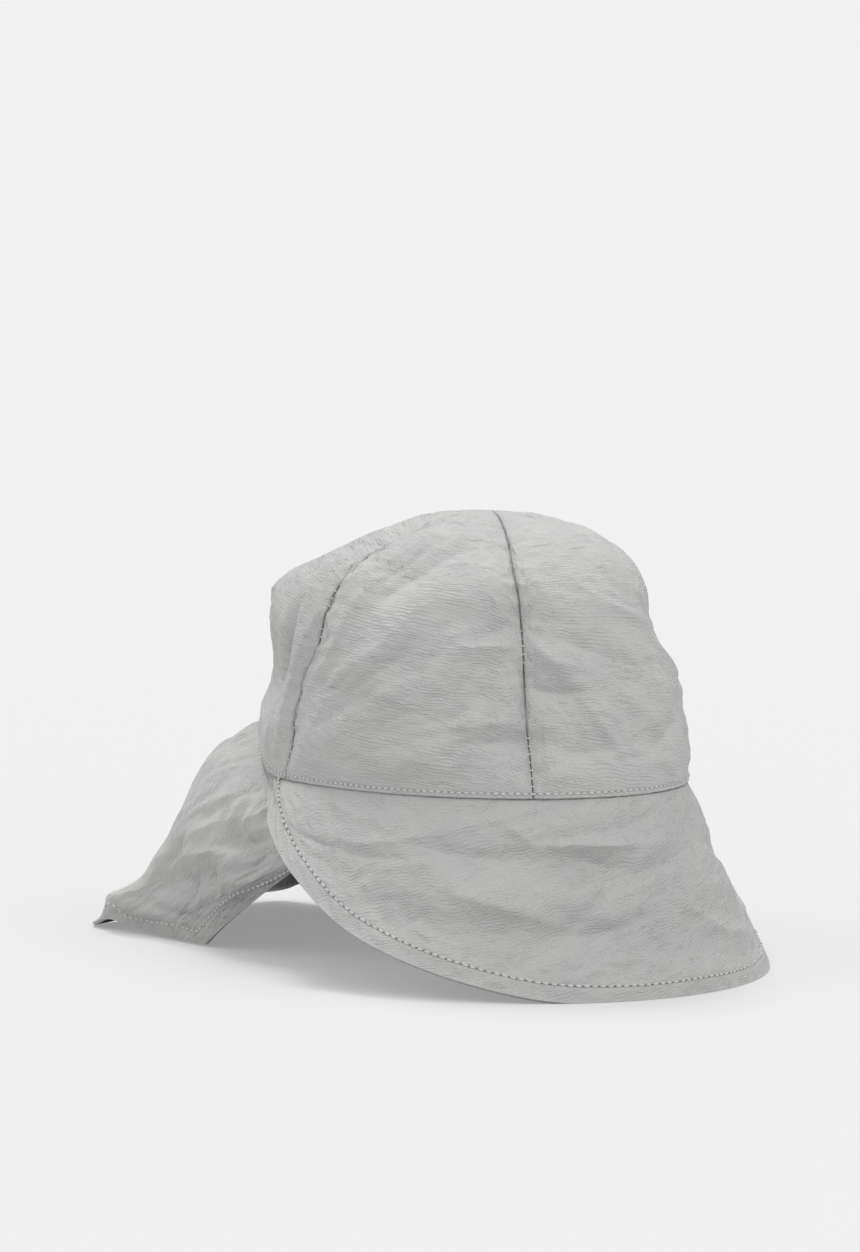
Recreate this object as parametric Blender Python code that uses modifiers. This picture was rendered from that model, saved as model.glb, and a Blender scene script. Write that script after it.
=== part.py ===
"""Legionnaire cap: a five-panel crown, a wide visor and a gathered neck flap.

The cap stands on its visor and its flap. The front is -Y, up is +Z and the
cap's own right is -X. A place on the crown is named by its turn in degrees
(0 at the front, -90 at the cap's right, 180 at the back) and by its rise
(0 at the seam with the visor, 1 at the crown's top). Lengths are in metres.
"""
import math
from functools import partial
from typing import NamedTuple

import bmesh
import bpy
import numpy as np

# Cloth and sewing
CLOTH = 0.0012
HEM_CLOTH = 0.0021
GAP = 0.00035
LAYER = CLOTH + GAP
VISOR_HEM = 0.0075
FLAP_HEM_WIDTH = 0.0045
TUCK_RISE = 0.035
SEAM_DIP = 0.0022
SEAM_SPREAD = 0.0070
PILLOW = 0.0020
PANEL_COUNT = 5

# Head opening and crown
HEAD_LENGTH = 0.177
HEAD_WIDTH = 0.139
SEAM_HEIGHT = 0.070
BACK_LIFT = 0.0195
BACK_DRAW = 0.008
EAR_FULLNESS = 0.0024
CROWN_HEIGHT = 0.099
TIP_RISE = 0.991

# Visor and neck flap
VISOR_HALF_TURN = 124.0
VISOR_FLARE = 0.032
FLAP_HALF_TURN = 100.0
FLAP_REACH = 0.1635
FLOOR_SINK = 0.0003

# Grid cells of each sheet
PANEL_CELLS = (14, 20)
VISOR_CELLS = (62, 11)
FLAP_CELLS = (38, 16)

HALF_LENGTH = HEAD_LENGTH / 2
HALF_WIDTH = HEAD_WIDTH / 2
MEAN_RADIUS = (HALF_LENGTH + HALF_WIDTH) / 2
CROWN_CLIMB = CROWN_HEIGHT * 1.5
VISOR_REACH = HALF_LENGTH + VISOR_FLARE
CENTRE_Y = (VISOR_REACH - FLAP_REACH) / 2
PANEL_STEP = 360.0 / PANEL_COUNT
PANEL_NAMES = ("crown_front", "crown_side_left", "crown_back_left", "crown_back_right", "crown_side_right")


class ProfileRow(NamedTuple):
    """Crown outline: shares of the opening's radius and of the crown's height."""

    rise: float
    radius: float
    height: float


CROWN_PROFILE = (
    ProfileRow(0.00, 1.000, 0.000),
    ProfileRow(0.08, 1.000, 0.120),
    ProfileRow(0.15, 0.992, 0.227),
    ProfileRow(0.28, 0.960, 0.415),
    ProfileRow(0.38, 0.925, 0.550),
    ProfileRow(0.49, 0.860, 0.715),
    ProfileRow(0.60, 0.745, 0.835),
    ProfileRow(0.70, 0.585, 0.914),
    ProfileRow(0.82, 0.360, 0.970),
    ProfileRow(0.92, 0.160, 0.993),
    ProfileRow(1.00, 0.000, 1.000),
)


class LeanRow(NamedTuple):
    """How far the crown leans back and to its own left, in head widths."""

    rise: float
    back: float
    left: float


CROWN_LEAN = (
    LeanRow(0.00, 0.000, 0.000),
    LeanRow(0.30, 0.030, 0.000),
    LeanRow(0.55, 0.030, 0.000),
    LeanRow(0.80, 0.000, 0.000),
    LeanRow(1.00, -0.050, 0.015),
)


class FoldRow(NamedTuple):
    """One soft fold or dent.

    turn and rise place its middle (share across and share along on the
    flap), length and width are in half head widths, lean tilts its length up
    from level in degrees and push is its height in head widths.
    """

    turn: float
    rise: float
    length: float
    width: float
    lean: float
    push: float


CROWN_FOLDS = (
    FoldRow(180, 0.66, 0.85, 0.42, 0, -0.062),
    FoldRow(-152, 0.58, 0.40, 0.26, 0, -0.024),
    FoldRow(-148, 0.22, 0.60, 0.26, 0, -0.044),
    FoldRow(42, 0.40, 0.45, 0.30, -10, -0.030),
    FoldRow(50, 0.18, 0.40, 0.28, 0, 0.022),
    FoldRow(-55, 0.60, 0.38, 0.16, 35, -0.012),
    FoldRow(-73, 0.34, 0.60, 0.16, 55, 0.010),
    FoldRow(-43, 0.425, 0.22, 0.10, -10, -0.013),
    FoldRow(-49, 0.380, 0.25, 0.08, 0, 0.009),
    FoldRow(-29, 0.415, 0.16, 0.09, 20, -0.011),
    FoldRow(-26, 0.345, 0.32, 0.09, -25, 0.010),
    FoldRow(-27, 0.260, 0.35, 0.12, -35, -0.013),
    FoldRow(-15, 0.220, 0.32, 0.09, -50, 0.009),
    FoldRow(-47, 0.105, 0.35, 0.10, 12, -0.010),
    FoldRow(0, 0.110, 0.22, 0.10, -30, -0.011),
    FoldRow(115, 0.45, 0.45, 0.14, 40, -0.014),
    FoldRow(85, 0.30, 0.40, 0.14, -30, 0.012),
    FoldRow(160, 0.32, 0.45, 0.16, -10, -0.020),
)

VISOR_FOLDS = (
    FoldRow(-22, 0.21, 0.50, 0.12, 5, 0.012),
    FoldRow(-29, 0.34, 0.36, 0.11, 12, -0.015),
    FoldRow(-4, 0.39, 0.48, 0.11, -26, 0.014),
    FoldRow(10, 0.26, 0.35, 0.10, -26, -0.010),
    FoldRow(-25, 0.62, 0.40, 0.12, -8, -0.013),
    FoldRow(-45, 0.48, 0.45, 0.13, -15, 0.010),
    FoldRow(-69, 0.36, 0.50, 0.22, 15, 0.010),
    FoldRow(8, 0.66, 0.30, 0.13, -20, -0.008),
    FoldRow(45, 0.45, 0.50, 0.14, 20, -0.013),
    FoldRow(66, 0.34, 0.45, 0.14, -15, 0.012),
)

FLAP_FOLDS = (
    FoldRow(-0.45, 0.86, 0.45, 0.14, 0, 0.040),
    FoldRow(-0.60, 0.66, 0.30, 0.15, 60, -0.030),
    FoldRow(-0.74, 0.52, 0.45, 0.11, -50, 0.020),
    FoldRow(-0.68, 0.31, 0.26, 0.10, 0, -0.018),
    FoldRow(-0.25, 0.45, 0.50, 0.14, 65, 0.016),
    FoldRow(0.00, 0.55, 0.60, 0.20, 85, -0.022),
    FoldRow(0.30, 0.50, 0.50, 0.15, -70, 0.018),
    FoldRow(0.46, 0.84, 0.40, 0.15, 0, 0.030),
    FoldRow(0.62, 0.60, 0.40, 0.14, -60, -0.024),
)


class RimRow(NamedTuple):
    """Visor rim: shares of the seam height it drops and of its largest flare."""

    turn: float
    drop: float
    flare: float


VISOR_RIM = (
    RimRow(0, 1.000, 1.00),
    RimRow(20, 1.000, 1.00),
    RimRow(35, 0.975, 1.00),
    RimRow(50, 0.895, 0.96),
    RimRow(65, 0.785, 0.88),
    RimRow(80, 0.640, 0.75),
    RimRow(90, 0.490, 0.67),
    RimRow(98, 0.350, 0.62),
    RimRow(105, 0.220, 0.51),
    RimRow(114, 0.095, 0.26),
    RimRow(124, 0.050, 0.04),
)


class SlopeRow(NamedTuple):
    """Visor section from seam to rim: shares of its drop and of its flare."""

    along: float
    down: float
    out: float


VISOR_SLOPE = (
    SlopeRow(0.00, 0.00, 0.00),
    SlopeRow(0.25, 0.26, 0.28),
    SlopeRow(0.50, 0.52, 0.51),
    SlopeRow(0.75, 0.78, 0.70),
    SlopeRow(0.90, 0.92, 0.88),
    SlopeRow(1.00, 1.00, 1.00),
)


class HemRow(NamedTuple):
    """Flap hem from the middle of the back to one front corner.

    across is the share of the half flap, side is in head widths, back is a
    share of the flap's reach and lift is in seam heights.
    """

    across: float
    side: float
    back: float
    lift: float


FLAP_HEM = (
    HemRow(0.00, 0.000, 0.985, 0.085),
    HemRow(0.26, 0.215, 1.000, 0.045),
    HemRow(0.38, 0.320, 1.000, 0.000),
    HemRow(0.45, 0.367, 0.975, 0.000),
    HemRow(0.52, 0.381, 0.905, 0.055),
    HemRow(0.60, 0.374, 0.825, 0.045),
    HemRow(0.72, 0.377, 0.720, 0.015),
    HemRow(0.86, 0.385, 0.630, 0.000),
    HemRow(1.00, 0.393, 0.552, 0.000),
)


class CurlRow(NamedTuple):
    """How a strip of the flap leaves the seam and reaches the hem.

    hang is the straight drop below the seam in seam heights; the others are
    shares of the strip's length, outward and downward.
    """

    across: float
    hang: float
    leave_out: float
    leave_down: float
    arrive_out: float
    arrive_down: float


FLAP_CURL = (
    CurlRow(0.00, 0.040, 1.10, 0.00, 1.05, 0.50),
    CurlRow(0.43, 0.045, 1.10, 0.05, 1.10, 0.50),
    CurlRow(0.56, 0.095, 0.80, 0.30, 1.02, 0.52),
    CurlRow(0.64, 0.120, 0.60, 0.50, 0.95, 0.58),
    CurlRow(0.80, 0.110, 0.30, 0.80, 0.80, 0.70),
    CurlRow(1.00, 0.060, 0.00, 1.00, 0.65, 0.90),
)


def smooth_step(value, low, high):
    """Go from 0 at low to 1 at high without a corner."""
    share = np.clip((value - low) / (high - low), 0.0, 1.0)
    return share * share * (3.0 - 2.0 * share)


def wrapped(turn):
    """Bring a turn into the range from -180 to 180 degrees."""
    return (turn + 180.0) % 360.0 - 180.0


def curve_through(table, column, at):
    """Read a smooth curve through one column of a table."""
    keys = np.array([row[0] for row in table], float)
    values = np.array([getattr(row, column) for row in table], float)
    slopes = np.gradient(values, keys)
    at = np.clip(at, keys[0], keys[-1])
    left = np.clip(np.searchsorted(keys, at, side="right") - 1, 0, len(keys) - 2)
    span = keys[left + 1] - keys[left]
    share = (at - keys[left]) / span
    rest = 1.0 - share
    start = rest * rest * ((1.0 + 2.0 * share) * values[left] + share * span * slopes[left])
    end = share * share * ((3.0 - 2.0 * share) * values[left + 1] - rest * span * slopes[left + 1])
    return start + end


def unit(vectors):
    """Scale vectors to length one."""
    return vectors / np.linalg.norm(vectors, axis=-1, keepdims=True)


def points(x, y, z):
    """Stack coordinates of any matching shapes into points."""
    return np.stack(np.broadcast_arrays(x, y, z), axis=-1)


def fold_push(table, across, along, side_length, along_length):
    """Add up the outward push of a table's folds.

    side_length is in metres per degree or per share across; along_length is
    in metres per share along.
    """
    total = 0.0
    for row in table:
        sideways = across_distance(across, row.turn) * side_length / HALF_WIDTH
        upward = (along - row.rise) * along_length / HALF_WIDTH
        lean = math.radians(row.lean)
        lengthwise = (sideways * math.cos(lean) + upward * math.sin(lean)) / row.length
        crosswise = (upward * math.cos(lean) - sideways * math.sin(lean)) / row.width
        total = total + row.push * HEAD_WIDTH * np.exp(-lengthwise ** 2 - crosswise ** 2)
    return total


def across_distance(across, middle):
    """Signed turn from a fold's middle, the short way round."""
    return wrapped(across - middle)


def seam_height(turn):
    """Height of the crown's lower edge, lifted at the back by the elastic."""
    return SEAM_HEIGHT + BACK_LIFT * smooth_step(np.abs(wrapped(turn)), 116.0, 160.0)


def opening(turn):
    """Place on the head opening and the direction straight out of it."""
    angle = np.radians(turn)
    x = HALF_WIDTH * np.sin(angle)
    y = -HALF_LENGTH * np.cos(angle)
    out_x = x / HALF_WIDTH ** 2
    out_y = y / HALF_LENGTH ** 2
    size = np.hypot(out_x, out_y)
    return x, y, out_x / size, out_y / size


def lower_draw(side):
    """Pull of the elastic at the back, less the fullness kept behind the ears."""
    fullness = EAR_FULLNESS * np.exp(-((side - 130.0) / 20.0) ** 2)
    return BACK_DRAW * smooth_step(side, 135.0, 172.0) - fullness


def crown_base(turn, rise):
    """Crown surface before its seams and folds."""
    x, y, out_x, out_y = opening(turn)
    radius = curve_through(CROWN_PROFILE, "radius", rise)
    height = curve_through(CROWN_PROFILE, "height", rise)
    low = seam_height(turn)
    draw = lower_draw(np.abs(wrapped(turn))) * (1.0 - smooth_step(rise, 0.0, 0.24))
    left = HEAD_WIDTH * curve_through(CROWN_LEAN, "left", rise)
    back = HEAD_WIDTH * curve_through(CROWN_LEAN, "back", rise)
    return points(
        x * radius - out_x * draw + left,
        y * radius - out_y * draw + back,
        low + (SEAM_HEIGHT + CROWN_HEIGHT - low) * height,
    )


def crown_outward(turn, rise):
    """Direction straight out of the crown."""
    rise = np.clip(rise, 0.004, 0.985)
    around = crown_base(turn + 0.5, rise) - crown_base(turn - 0.5, rise)
    upward = crown_base(turn, rise + 0.004) - crown_base(turn, rise - 0.004)
    return unit(np.cross(around, upward))


def seam_shape(turn, rise):
    """Panels that swell a little and seams that pull in between them."""
    past_seam = (turn - PANEL_STEP / 2.0) % PANEL_STEP
    from_seam = np.minimum(past_seam, PANEL_STEP - past_seam)
    radius = MEAN_RADIUS * curve_through(CROWN_PROFILE, "radius", rise)
    distance = np.radians(from_seam) * radius
    dip = SEAM_DIP * np.exp(-(distance / SEAM_SPREAD) ** 2)
    swell = PILLOW * np.sin(math.pi * from_seam / PANEL_STEP)
    return (swell - dip) * smooth_step(rise, 0.0, 0.10) * (1.0 - smooth_step(rise, 0.74, 0.96))


def crown_surface(turn, rise, inset=0.0):
    """Outer crown surface, or a layer set in behind it."""
    radius = np.maximum(curve_through(CROWN_PROFILE, "radius", rise), 0.25)
    around = np.radians(1.0) * MEAN_RADIUS * radius
    calm = smooth_step(rise, 0.0, 0.06) * (1.0 - smooth_step(rise, 0.78, 0.95))
    push = seam_shape(turn, rise) + calm * fold_push(CROWN_FOLDS, turn, rise, around, CROWN_CLIMB)
    return crown_base(turn, rise) + crown_outward(turn, rise) * (push - inset)[..., None]


def visor_surface(turn, along):
    """Outer visor surface; along below 0 is the strip tucked behind the crown."""
    below = np.clip(along, 0.0, 1.0)
    tuck = TUCK_RISE * np.clip(-along, 0.0, 1.0)
    start = crown_surface(turn, tuck, LAYER)
    out_x, out_y = opening(turn)[2:]
    side = np.abs(turn)
    flare = VISOR_FLARE * curve_through(VISOR_RIM, "flare", side)
    out = flare * curve_through(VISOR_SLOPE, "out", below)
    drop = (SEAM_HEIGHT + FLOOR_SINK) * curve_through(VISOR_RIM, "drop", side)
    down = drop * curve_through(VISOR_SLOPE, "down", below)
    width = np.radians(1.0) * (MEAN_RADIUS + VISOR_FLARE * below)
    push = fold_push(VISOR_FOLDS, turn, below, width, SEAM_HEIGHT)
    push = push * smooth_step(below, 0.0, 0.12) * (1.0 - smooth_step(below, 0.85, 1.0))
    return start + points(out_x * (out + push), out_y * (out + push), -down)


def flap_inset(turn):
    """Depth of the flap's top strip: behind the visor, or right behind the crown."""
    return LAYER * (2.1 - 0.5 * smooth_step(np.abs(wrapped(turn)), 128.0, 145.0))


def flap_hem(across):
    """Point on the flap's hem."""
    side = np.abs(across)
    x = np.sign(across) * HEAD_WIDTH * curve_through(FLAP_HEM, "side", side)
    y = FLAP_REACH * curve_through(FLAP_HEM, "back", side)
    z = SEAM_HEIGHT * np.maximum(curve_through(FLAP_HEM, "lift", side), 0.0) + HEM_CLOTH / 2
    return points(x, y, z)


def flap_sweep(start, hem, turn, across, along):
    """Strip of the flap that swings out from the seam and settles at the hem."""
    side = np.abs(across)
    reach = hem - start
    length = np.linalg.norm(reach, axis=-1, keepdims=True)
    down = np.array([0.0, 0.0, -1.0])
    out_x, out_y = opening(turn)[2:]
    leave_out = unit(points(0.3 * out_x, 0.3 * out_y + 0.7, 0.0))
    arrive_out = unit(reach * np.array([1.0, 1.0, 0.0]))
    share = {name: curve_through(FLAP_CURL, name, side)[..., None] for name in CurlRow._fields[2:]}
    leave = length * (leave_out * share["leave_out"] + down * share["leave_down"])
    arrive = length * (arrive_out * share["arrive_out"] + down * share["arrive_down"])
    s = along[..., None]
    r = 1.0 - s
    near_seam = r * r * ((1.0 + 2.0 * s) * start + s * leave)
    near_hem = s * s * ((3.0 - 2.0 * s) * hem - r * arrive)
    return near_seam + near_hem


def flap_base(across, along):
    """Flap surface before its folds; along below 0 is the strip tucked behind the crown."""
    turn = 180.0 - FLAP_HALF_TURN * across
    tuck = TUCK_RISE * np.clip(-along, 0.0, 1.0)
    start = crown_surface(turn, tuck, flap_inset(turn))
    hang = SEAM_HEIGHT * curve_through(FLAP_CURL, "hang", np.abs(across))
    start = start - points(0.0, 0.0, hang * (along > -0.5))
    below = np.clip(along, 0.0, 1.0)
    return flap_sweep(start, flap_hem(across), turn, across, below)


def flap_surface(across, along):
    """Outer flap surface with its folds."""
    inner = np.clip(along, 0.01, 0.99)
    around = flap_base(across + 0.01, inner) - flap_base(across - 0.01, inner)
    downward = flap_base(across, inner + 0.01) - flap_base(across, inner - 0.01)
    outward = unit(np.cross(around, downward))
    push = fold_push(FLAP_FOLDS, across, along, HALF_LENGTH * 1.6, SEAM_HEIGHT * 1.6)
    push = push * smooth_step(along, 0.04, 0.16) * (1.0 - smooth_step(along, 0.90, 1.0))
    return flap_base(across, along) + outward * (push + np.zeros_like(along))[..., None]


# Building


def levels(share, cells, hem):
    """Places down a sheet: 1 at the hem's edge, 0 at the seam, -1 at the tucked strip's top."""
    return np.interp(share * cells, (0, 1, cells - 1, cells), (1.0, 1.0 - hem, 0.0, -1.0))


def panel_surface(index, across, up):
    """One crown panel, short of each seam by half the gap."""
    rise = np.interp(up * PANEL_CELLS[1], (0, 1, PANEL_CELLS[1]), (0.0, TUCK_RISE, TIP_RISE))
    radius = MEAN_RADIUS * curve_through(CROWN_PROFILE, "radius", rise)
    half_turn = PANEL_STEP / 2.0 - np.degrees(GAP / 2.0 / radius)
    turn = index * PANEL_STEP + (2.0 * across - 1.0) * half_turn
    return crown_surface(turn, rise)


def visor_sheet(across, up):
    """Visor from its rim up to the strip behind the crown."""
    along = levels(up, VISOR_CELLS[1], VISOR_HEM / SEAM_HEIGHT)
    return visor_surface((2.0 * across - 1.0) * VISOR_HALF_TURN, along)


def flap_shares(across, up):
    """Places across and along the neck flap, with a column at each side hem."""
    hem = FLAP_HEM_WIDTH / SEAM_HEIGHT
    cells = FLAP_CELLS[0]
    side = np.interp(across * cells, (0, 1, cells - 1, cells), (1.0, 1.0 - hem, hem - 1.0, -1.0))
    return side, levels(up, FLAP_CELLS[1], hem)


def flap_sheet(across, up):
    """Neck flap from its hem up to the strip behind the crown."""
    return flap_surface(*flap_shares(across, up))


def visor_hem(across, up):
    """1 on the visor's turned hem, 0 elsewhere."""
    return np.where(up * VISOR_CELLS[1] < 1.5, 1.0, 0.0)


def flap_edges(across, up):
    """1 on the flap's turned hems, 0 elsewhere."""
    side, along = flap_shares(across, up)
    edge = 1.0 - 1.01 * FLAP_HEM_WIDTH / SEAM_HEIGHT
    return np.where((np.abs(side) > edge) | (along > edge), 1.0, 0.0)


def lay_grid(name, cells, surface):
    """Lay a flat grid over a surface and give it back with each point's shares."""
    grid = bmesh.new()
    bmesh.ops.create_grid(grid, x_segments=cells[0], y_segments=cells[1], size=0.5)
    shares = np.array([vertex.co[:2] for vertex in grid.verts]) + 0.5
    placed = surface(shares[:, 0], shares[:, 1]) + np.array([0.0, CENTRE_Y, 0.0])
    for vertex, place in zip(grid.verts, placed):
        vertex.co = place
    mesh = bpy.data.meshes.new(name)
    grid.to_mesh(mesh)
    grid.free()
    return bpy.data.objects.new(name, mesh), shares


def thicken(piece, weights):
    """Give a sheet its cloth, doubled towards the inside where a hem is turned."""
    hem = piece.vertex_groups.new(name="hem")
    for index, weight in enumerate(weights):
        hem.add([index], float(weight), "REPLACE")
    wall = piece.modifiers.new("cloth", "SOLIDIFY")
    wall.thickness = HEM_CLOTH
    wall.offset = -1.0
    wall.vertex_group = hem.name
    wall.thickness_vertex_group = CLOTH / HEM_CLOTH


def settle(piece):
    """Fix the thickness and flatten the edge that lies on the floor."""
    graph = bpy.context.evaluated_depsgraph_get()
    mesh = bpy.data.meshes.new_from_object(piece.evaluated_get(graph))
    piece.modifiers.clear()
    piece.data = mesh
    for vertex in mesh.vertices:
        vertex.co.z = max(vertex.co.z, 0.0)
    for face in mesh.polygons:
        face.use_smooth = True


def nylon(name, shade):
    """Matt grey nylon for one piece."""
    material = bpy.data.materials.new(name + "_nylon")
    material.use_nodes = True
    shader = material.node_tree.nodes["Principled BSDF"]
    shader.inputs["Base Color"].default_value = (shade, shade, 0.98 * shade, 1.0)
    shader.inputs["Roughness"].default_value = 0.7
    return material


def build_piece(group, name, cells, surface, hem, shade):
    """Build one sewn piece and link it to the cap."""
    piece, shares = lay_grid(name, cells, surface)
    group.objects.link(piece)
    thicken(piece, hem(shares[:, 0], shares[:, 1]))
    settle(piece)
    piece.data.materials.clear()
    piece.data.materials.append(nylon(name, shade))
    return piece


def no_hem(across, up):
    """No turned hem."""
    return np.zeros_like(across)


def build_crown(group):
    """Build the five wedge panels that meet at the crown's top."""
    for index, name in enumerate(PANEL_NAMES):
        build_piece(group, name, PANEL_CELLS, partial(panel_surface, index), no_hem, 0.50 + 0.01 * index)


def build_cap():
    """Build every piece of the cap."""
    for item in list(bpy.data.objects):
        bpy.data.objects.remove(item, do_unlink=True)
    group = bpy.data.collections.new("legionnaire_cap")
    bpy.context.scene.collection.children.link(group)
    build_crown(group)
    build_piece(group, "visor", VISOR_CELLS, visor_sheet, visor_hem, 0.48)
    build_piece(group, "neck_flap", FLAP_CELLS, flap_sheet, flap_edges, 0.46)


build_cap()
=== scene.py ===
"""Dressed model of a legionnaire cap sewn from thin crinkled nylon.

The scene works in the frame of the cap's CAD solids: metres, the front is -Y,
up is +Z and the cap's own right is -X. A place on the crown is a turn in
degrees (0 at the front, -90 at the cap's right, 180 at the back) and a rise
(0 at the seam with the visor, 1 at the top). A place on the visor or the neck
flap is across and along, where along is 0 at the seam and 1 at the hem.
"""

import logging
import math
from dataclasses import dataclass
from enum import Enum
from functools import partial
from typing import Callable, NamedTuple, Sequence

import bmesh
import bpy
from bpy.types import Material, Node, NodeLinks, Nodes, NodeSocket, Object
import numpy as np
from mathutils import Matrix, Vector

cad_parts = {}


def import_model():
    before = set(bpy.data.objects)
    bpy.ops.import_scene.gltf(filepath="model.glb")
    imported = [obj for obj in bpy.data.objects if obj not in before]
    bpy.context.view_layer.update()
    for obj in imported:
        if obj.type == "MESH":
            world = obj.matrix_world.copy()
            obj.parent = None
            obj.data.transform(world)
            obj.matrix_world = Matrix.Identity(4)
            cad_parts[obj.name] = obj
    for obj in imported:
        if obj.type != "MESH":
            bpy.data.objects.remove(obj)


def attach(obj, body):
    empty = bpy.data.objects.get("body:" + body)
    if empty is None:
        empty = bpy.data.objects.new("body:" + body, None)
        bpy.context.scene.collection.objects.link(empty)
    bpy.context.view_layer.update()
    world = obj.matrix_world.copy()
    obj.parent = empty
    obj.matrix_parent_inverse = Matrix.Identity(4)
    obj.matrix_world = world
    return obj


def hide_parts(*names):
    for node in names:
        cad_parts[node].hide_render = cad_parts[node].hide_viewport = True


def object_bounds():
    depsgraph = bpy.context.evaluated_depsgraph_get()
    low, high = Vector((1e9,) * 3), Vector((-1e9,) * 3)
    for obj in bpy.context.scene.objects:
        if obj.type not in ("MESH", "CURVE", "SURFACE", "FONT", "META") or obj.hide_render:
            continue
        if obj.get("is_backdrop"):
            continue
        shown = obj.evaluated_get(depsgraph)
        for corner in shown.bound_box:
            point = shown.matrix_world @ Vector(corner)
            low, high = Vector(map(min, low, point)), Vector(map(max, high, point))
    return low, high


Array = np.ndarray
Surface = Callable[[Array, Array], Array]

log = logging.getLogger("legionnaire_cap")


class ProfileRow(NamedTuple):
    """Crown outline: shares of the opening's radius and of the crown's height."""

    rise: float
    radius: float
    height: float


class LeanRow(NamedTuple):
    """How far the crown leans back and to its own left, in head widths."""

    rise: float
    back: float
    left: float


class FoldRow(NamedTuple):
    """A soft fold: its middle, its length and width in half head widths, its lean
    from level in degrees and its push in head widths."""

    across: float
    along: float
    length: float
    width: float
    lean: float
    push: float


class RimRow(NamedTuple):
    """Visor rim: shares of the seam height it drops and of its largest flare."""

    turn: float
    drop: float
    flare: float


class SlopeRow(NamedTuple):
    """Visor section from seam to rim: shares of its drop and of its flare."""

    along: float
    down: float
    out: float


class HemRow(NamedTuple):
    """Flap hem from the middle of the back to one front corner."""

    across: float
    side: float
    back: float
    lift: float


class CurlRow(NamedTuple):
    """How a strip of the flap leaves the seam and reaches the hem."""

    across: float
    hang: float
    leave_out: float
    leave_down: float
    arrive_out: float
    arrive_down: float


class OpenRow(NamedTuple):
    """How far the panel seams gape at a rise, in millimetres."""

    rise: float
    centre: float
    right: float
    others: float


class DriftRow(NamedTuple):
    """How far two panel seams wander from their even places at a rise, in degrees."""

    rise: float
    centre: float
    right: float


class GridRow(NamedTuple):
    """Share of a grid's lines spent by a distance, in metres, from the sheet's edge."""

    lines: float
    distance: float


class CrumpleRow(NamedTuple):
    """Even crumple of a cloth: how high it stands and the length and width of one
    of its creases, in metres, and their lean from level in degrees."""

    height: float
    length: float
    width: float
    lean: float


class LampRow(NamedTuple):
    """A wide soft lamp: its power, its width seen from the cap, its angle from
    overhead and its turn around the cap, all in degrees but the power."""

    name: str
    power: float
    spread: float
    tilt: float
    turn: float


class FoldKind(Enum):
    """How the cloth bends along a crease."""

    RIDGE = "stands up"
    SHADED = "turns under, away from the light"
    LIT = "turns up, towards the light"


class Crease(NamedTuple):
    """A small crease: its middle, length and width in millimetres, its lean from
    level in degrees, its height in millimetres and how it bends."""

    across: float
    along: float
    length: float
    width: float
    lean: float
    height: float
    kind: FoldKind


CROWN_PROFILE = (
    ProfileRow(0.00, 1.000, 0.000),
    ProfileRow(0.08, 1.000, 0.120),
    ProfileRow(0.15, 0.992, 0.227),
    ProfileRow(0.28, 0.960, 0.415),
    ProfileRow(0.38, 0.925, 0.550),
    ProfileRow(0.49, 0.860, 0.715),
    ProfileRow(0.60, 0.745, 0.835),
    ProfileRow(0.70, 0.585, 0.914),
    ProfileRow(0.82, 0.360, 0.970),
    ProfileRow(0.92, 0.160, 0.993),
    ProfileRow(1.00, 0.000, 1.000),
)

CROWN_LEAN = (
    LeanRow(0.00, 0.000, 0.000),
    LeanRow(0.30, 0.030, 0.000),
    LeanRow(0.55, 0.030, 0.000),
    LeanRow(0.80, 0.000, 0.000),
    LeanRow(1.00, -0.050, 0.015),
)

CROWN_FOLDS = (
    FoldRow(180, 0.66, 0.85, 0.42, 0, -0.062),
    FoldRow(-152, 0.58, 0.40, 0.26, 0, -0.024),
    FoldRow(-148, 0.22, 0.60, 0.26, 0, -0.044),
    FoldRow(42, 0.40, 0.45, 0.30, -10, -0.030),
    FoldRow(50, 0.18, 0.40, 0.28, 0, 0.022),
    FoldRow(-55, 0.60, 0.38, 0.16, 35, -0.012),
    FoldRow(-73, 0.34, 0.60, 0.16, 55, 0.010),
    FoldRow(-43, 0.425, 0.22, 0.10, -10, -0.013),
    FoldRow(-49, 0.380, 0.25, 0.08, 0, 0.009),
    FoldRow(-29, 0.415, 0.16, 0.09, 20, -0.011),
    FoldRow(-26, 0.345, 0.32, 0.09, -25, 0.010),
    FoldRow(-27, 0.260, 0.35, 0.12, -35, -0.013),
    FoldRow(-15, 0.220, 0.32, 0.09, -50, 0.009),
    FoldRow(-47, 0.105, 0.35, 0.10, 12, -0.010),
    FoldRow(0, 0.110, 0.22, 0.10, -30, -0.011),
    FoldRow(115, 0.45, 0.45, 0.14, 40, -0.014),
    FoldRow(85, 0.30, 0.40, 0.14, -30, 0.012),
    FoldRow(160, 0.32, 0.45, 0.16, -10, -0.020),
)

VISOR_FOLDS = (
    FoldRow(-22, 0.21, 0.50, 0.12, 5, 0.012),
    FoldRow(-29, 0.34, 0.36, 0.11, 12, -0.015),
    FoldRow(-4, 0.39, 0.48, 0.11, -26, 0.014),
    FoldRow(10, 0.26, 0.35, 0.10, -26, -0.010),
    FoldRow(-25, 0.62, 0.40, 0.12, -8, -0.013),
    FoldRow(-45, 0.48, 0.45, 0.13, -15, 0.010),
    FoldRow(-69, 0.36, 0.50, 0.22, 15, 0.010),
    FoldRow(8, 0.66, 0.30, 0.13, -20, -0.008),
    FoldRow(45, 0.45, 0.50, 0.14, 20, -0.013),
    FoldRow(66, 0.34, 0.45, 0.14, -15, 0.012),
)

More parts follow.
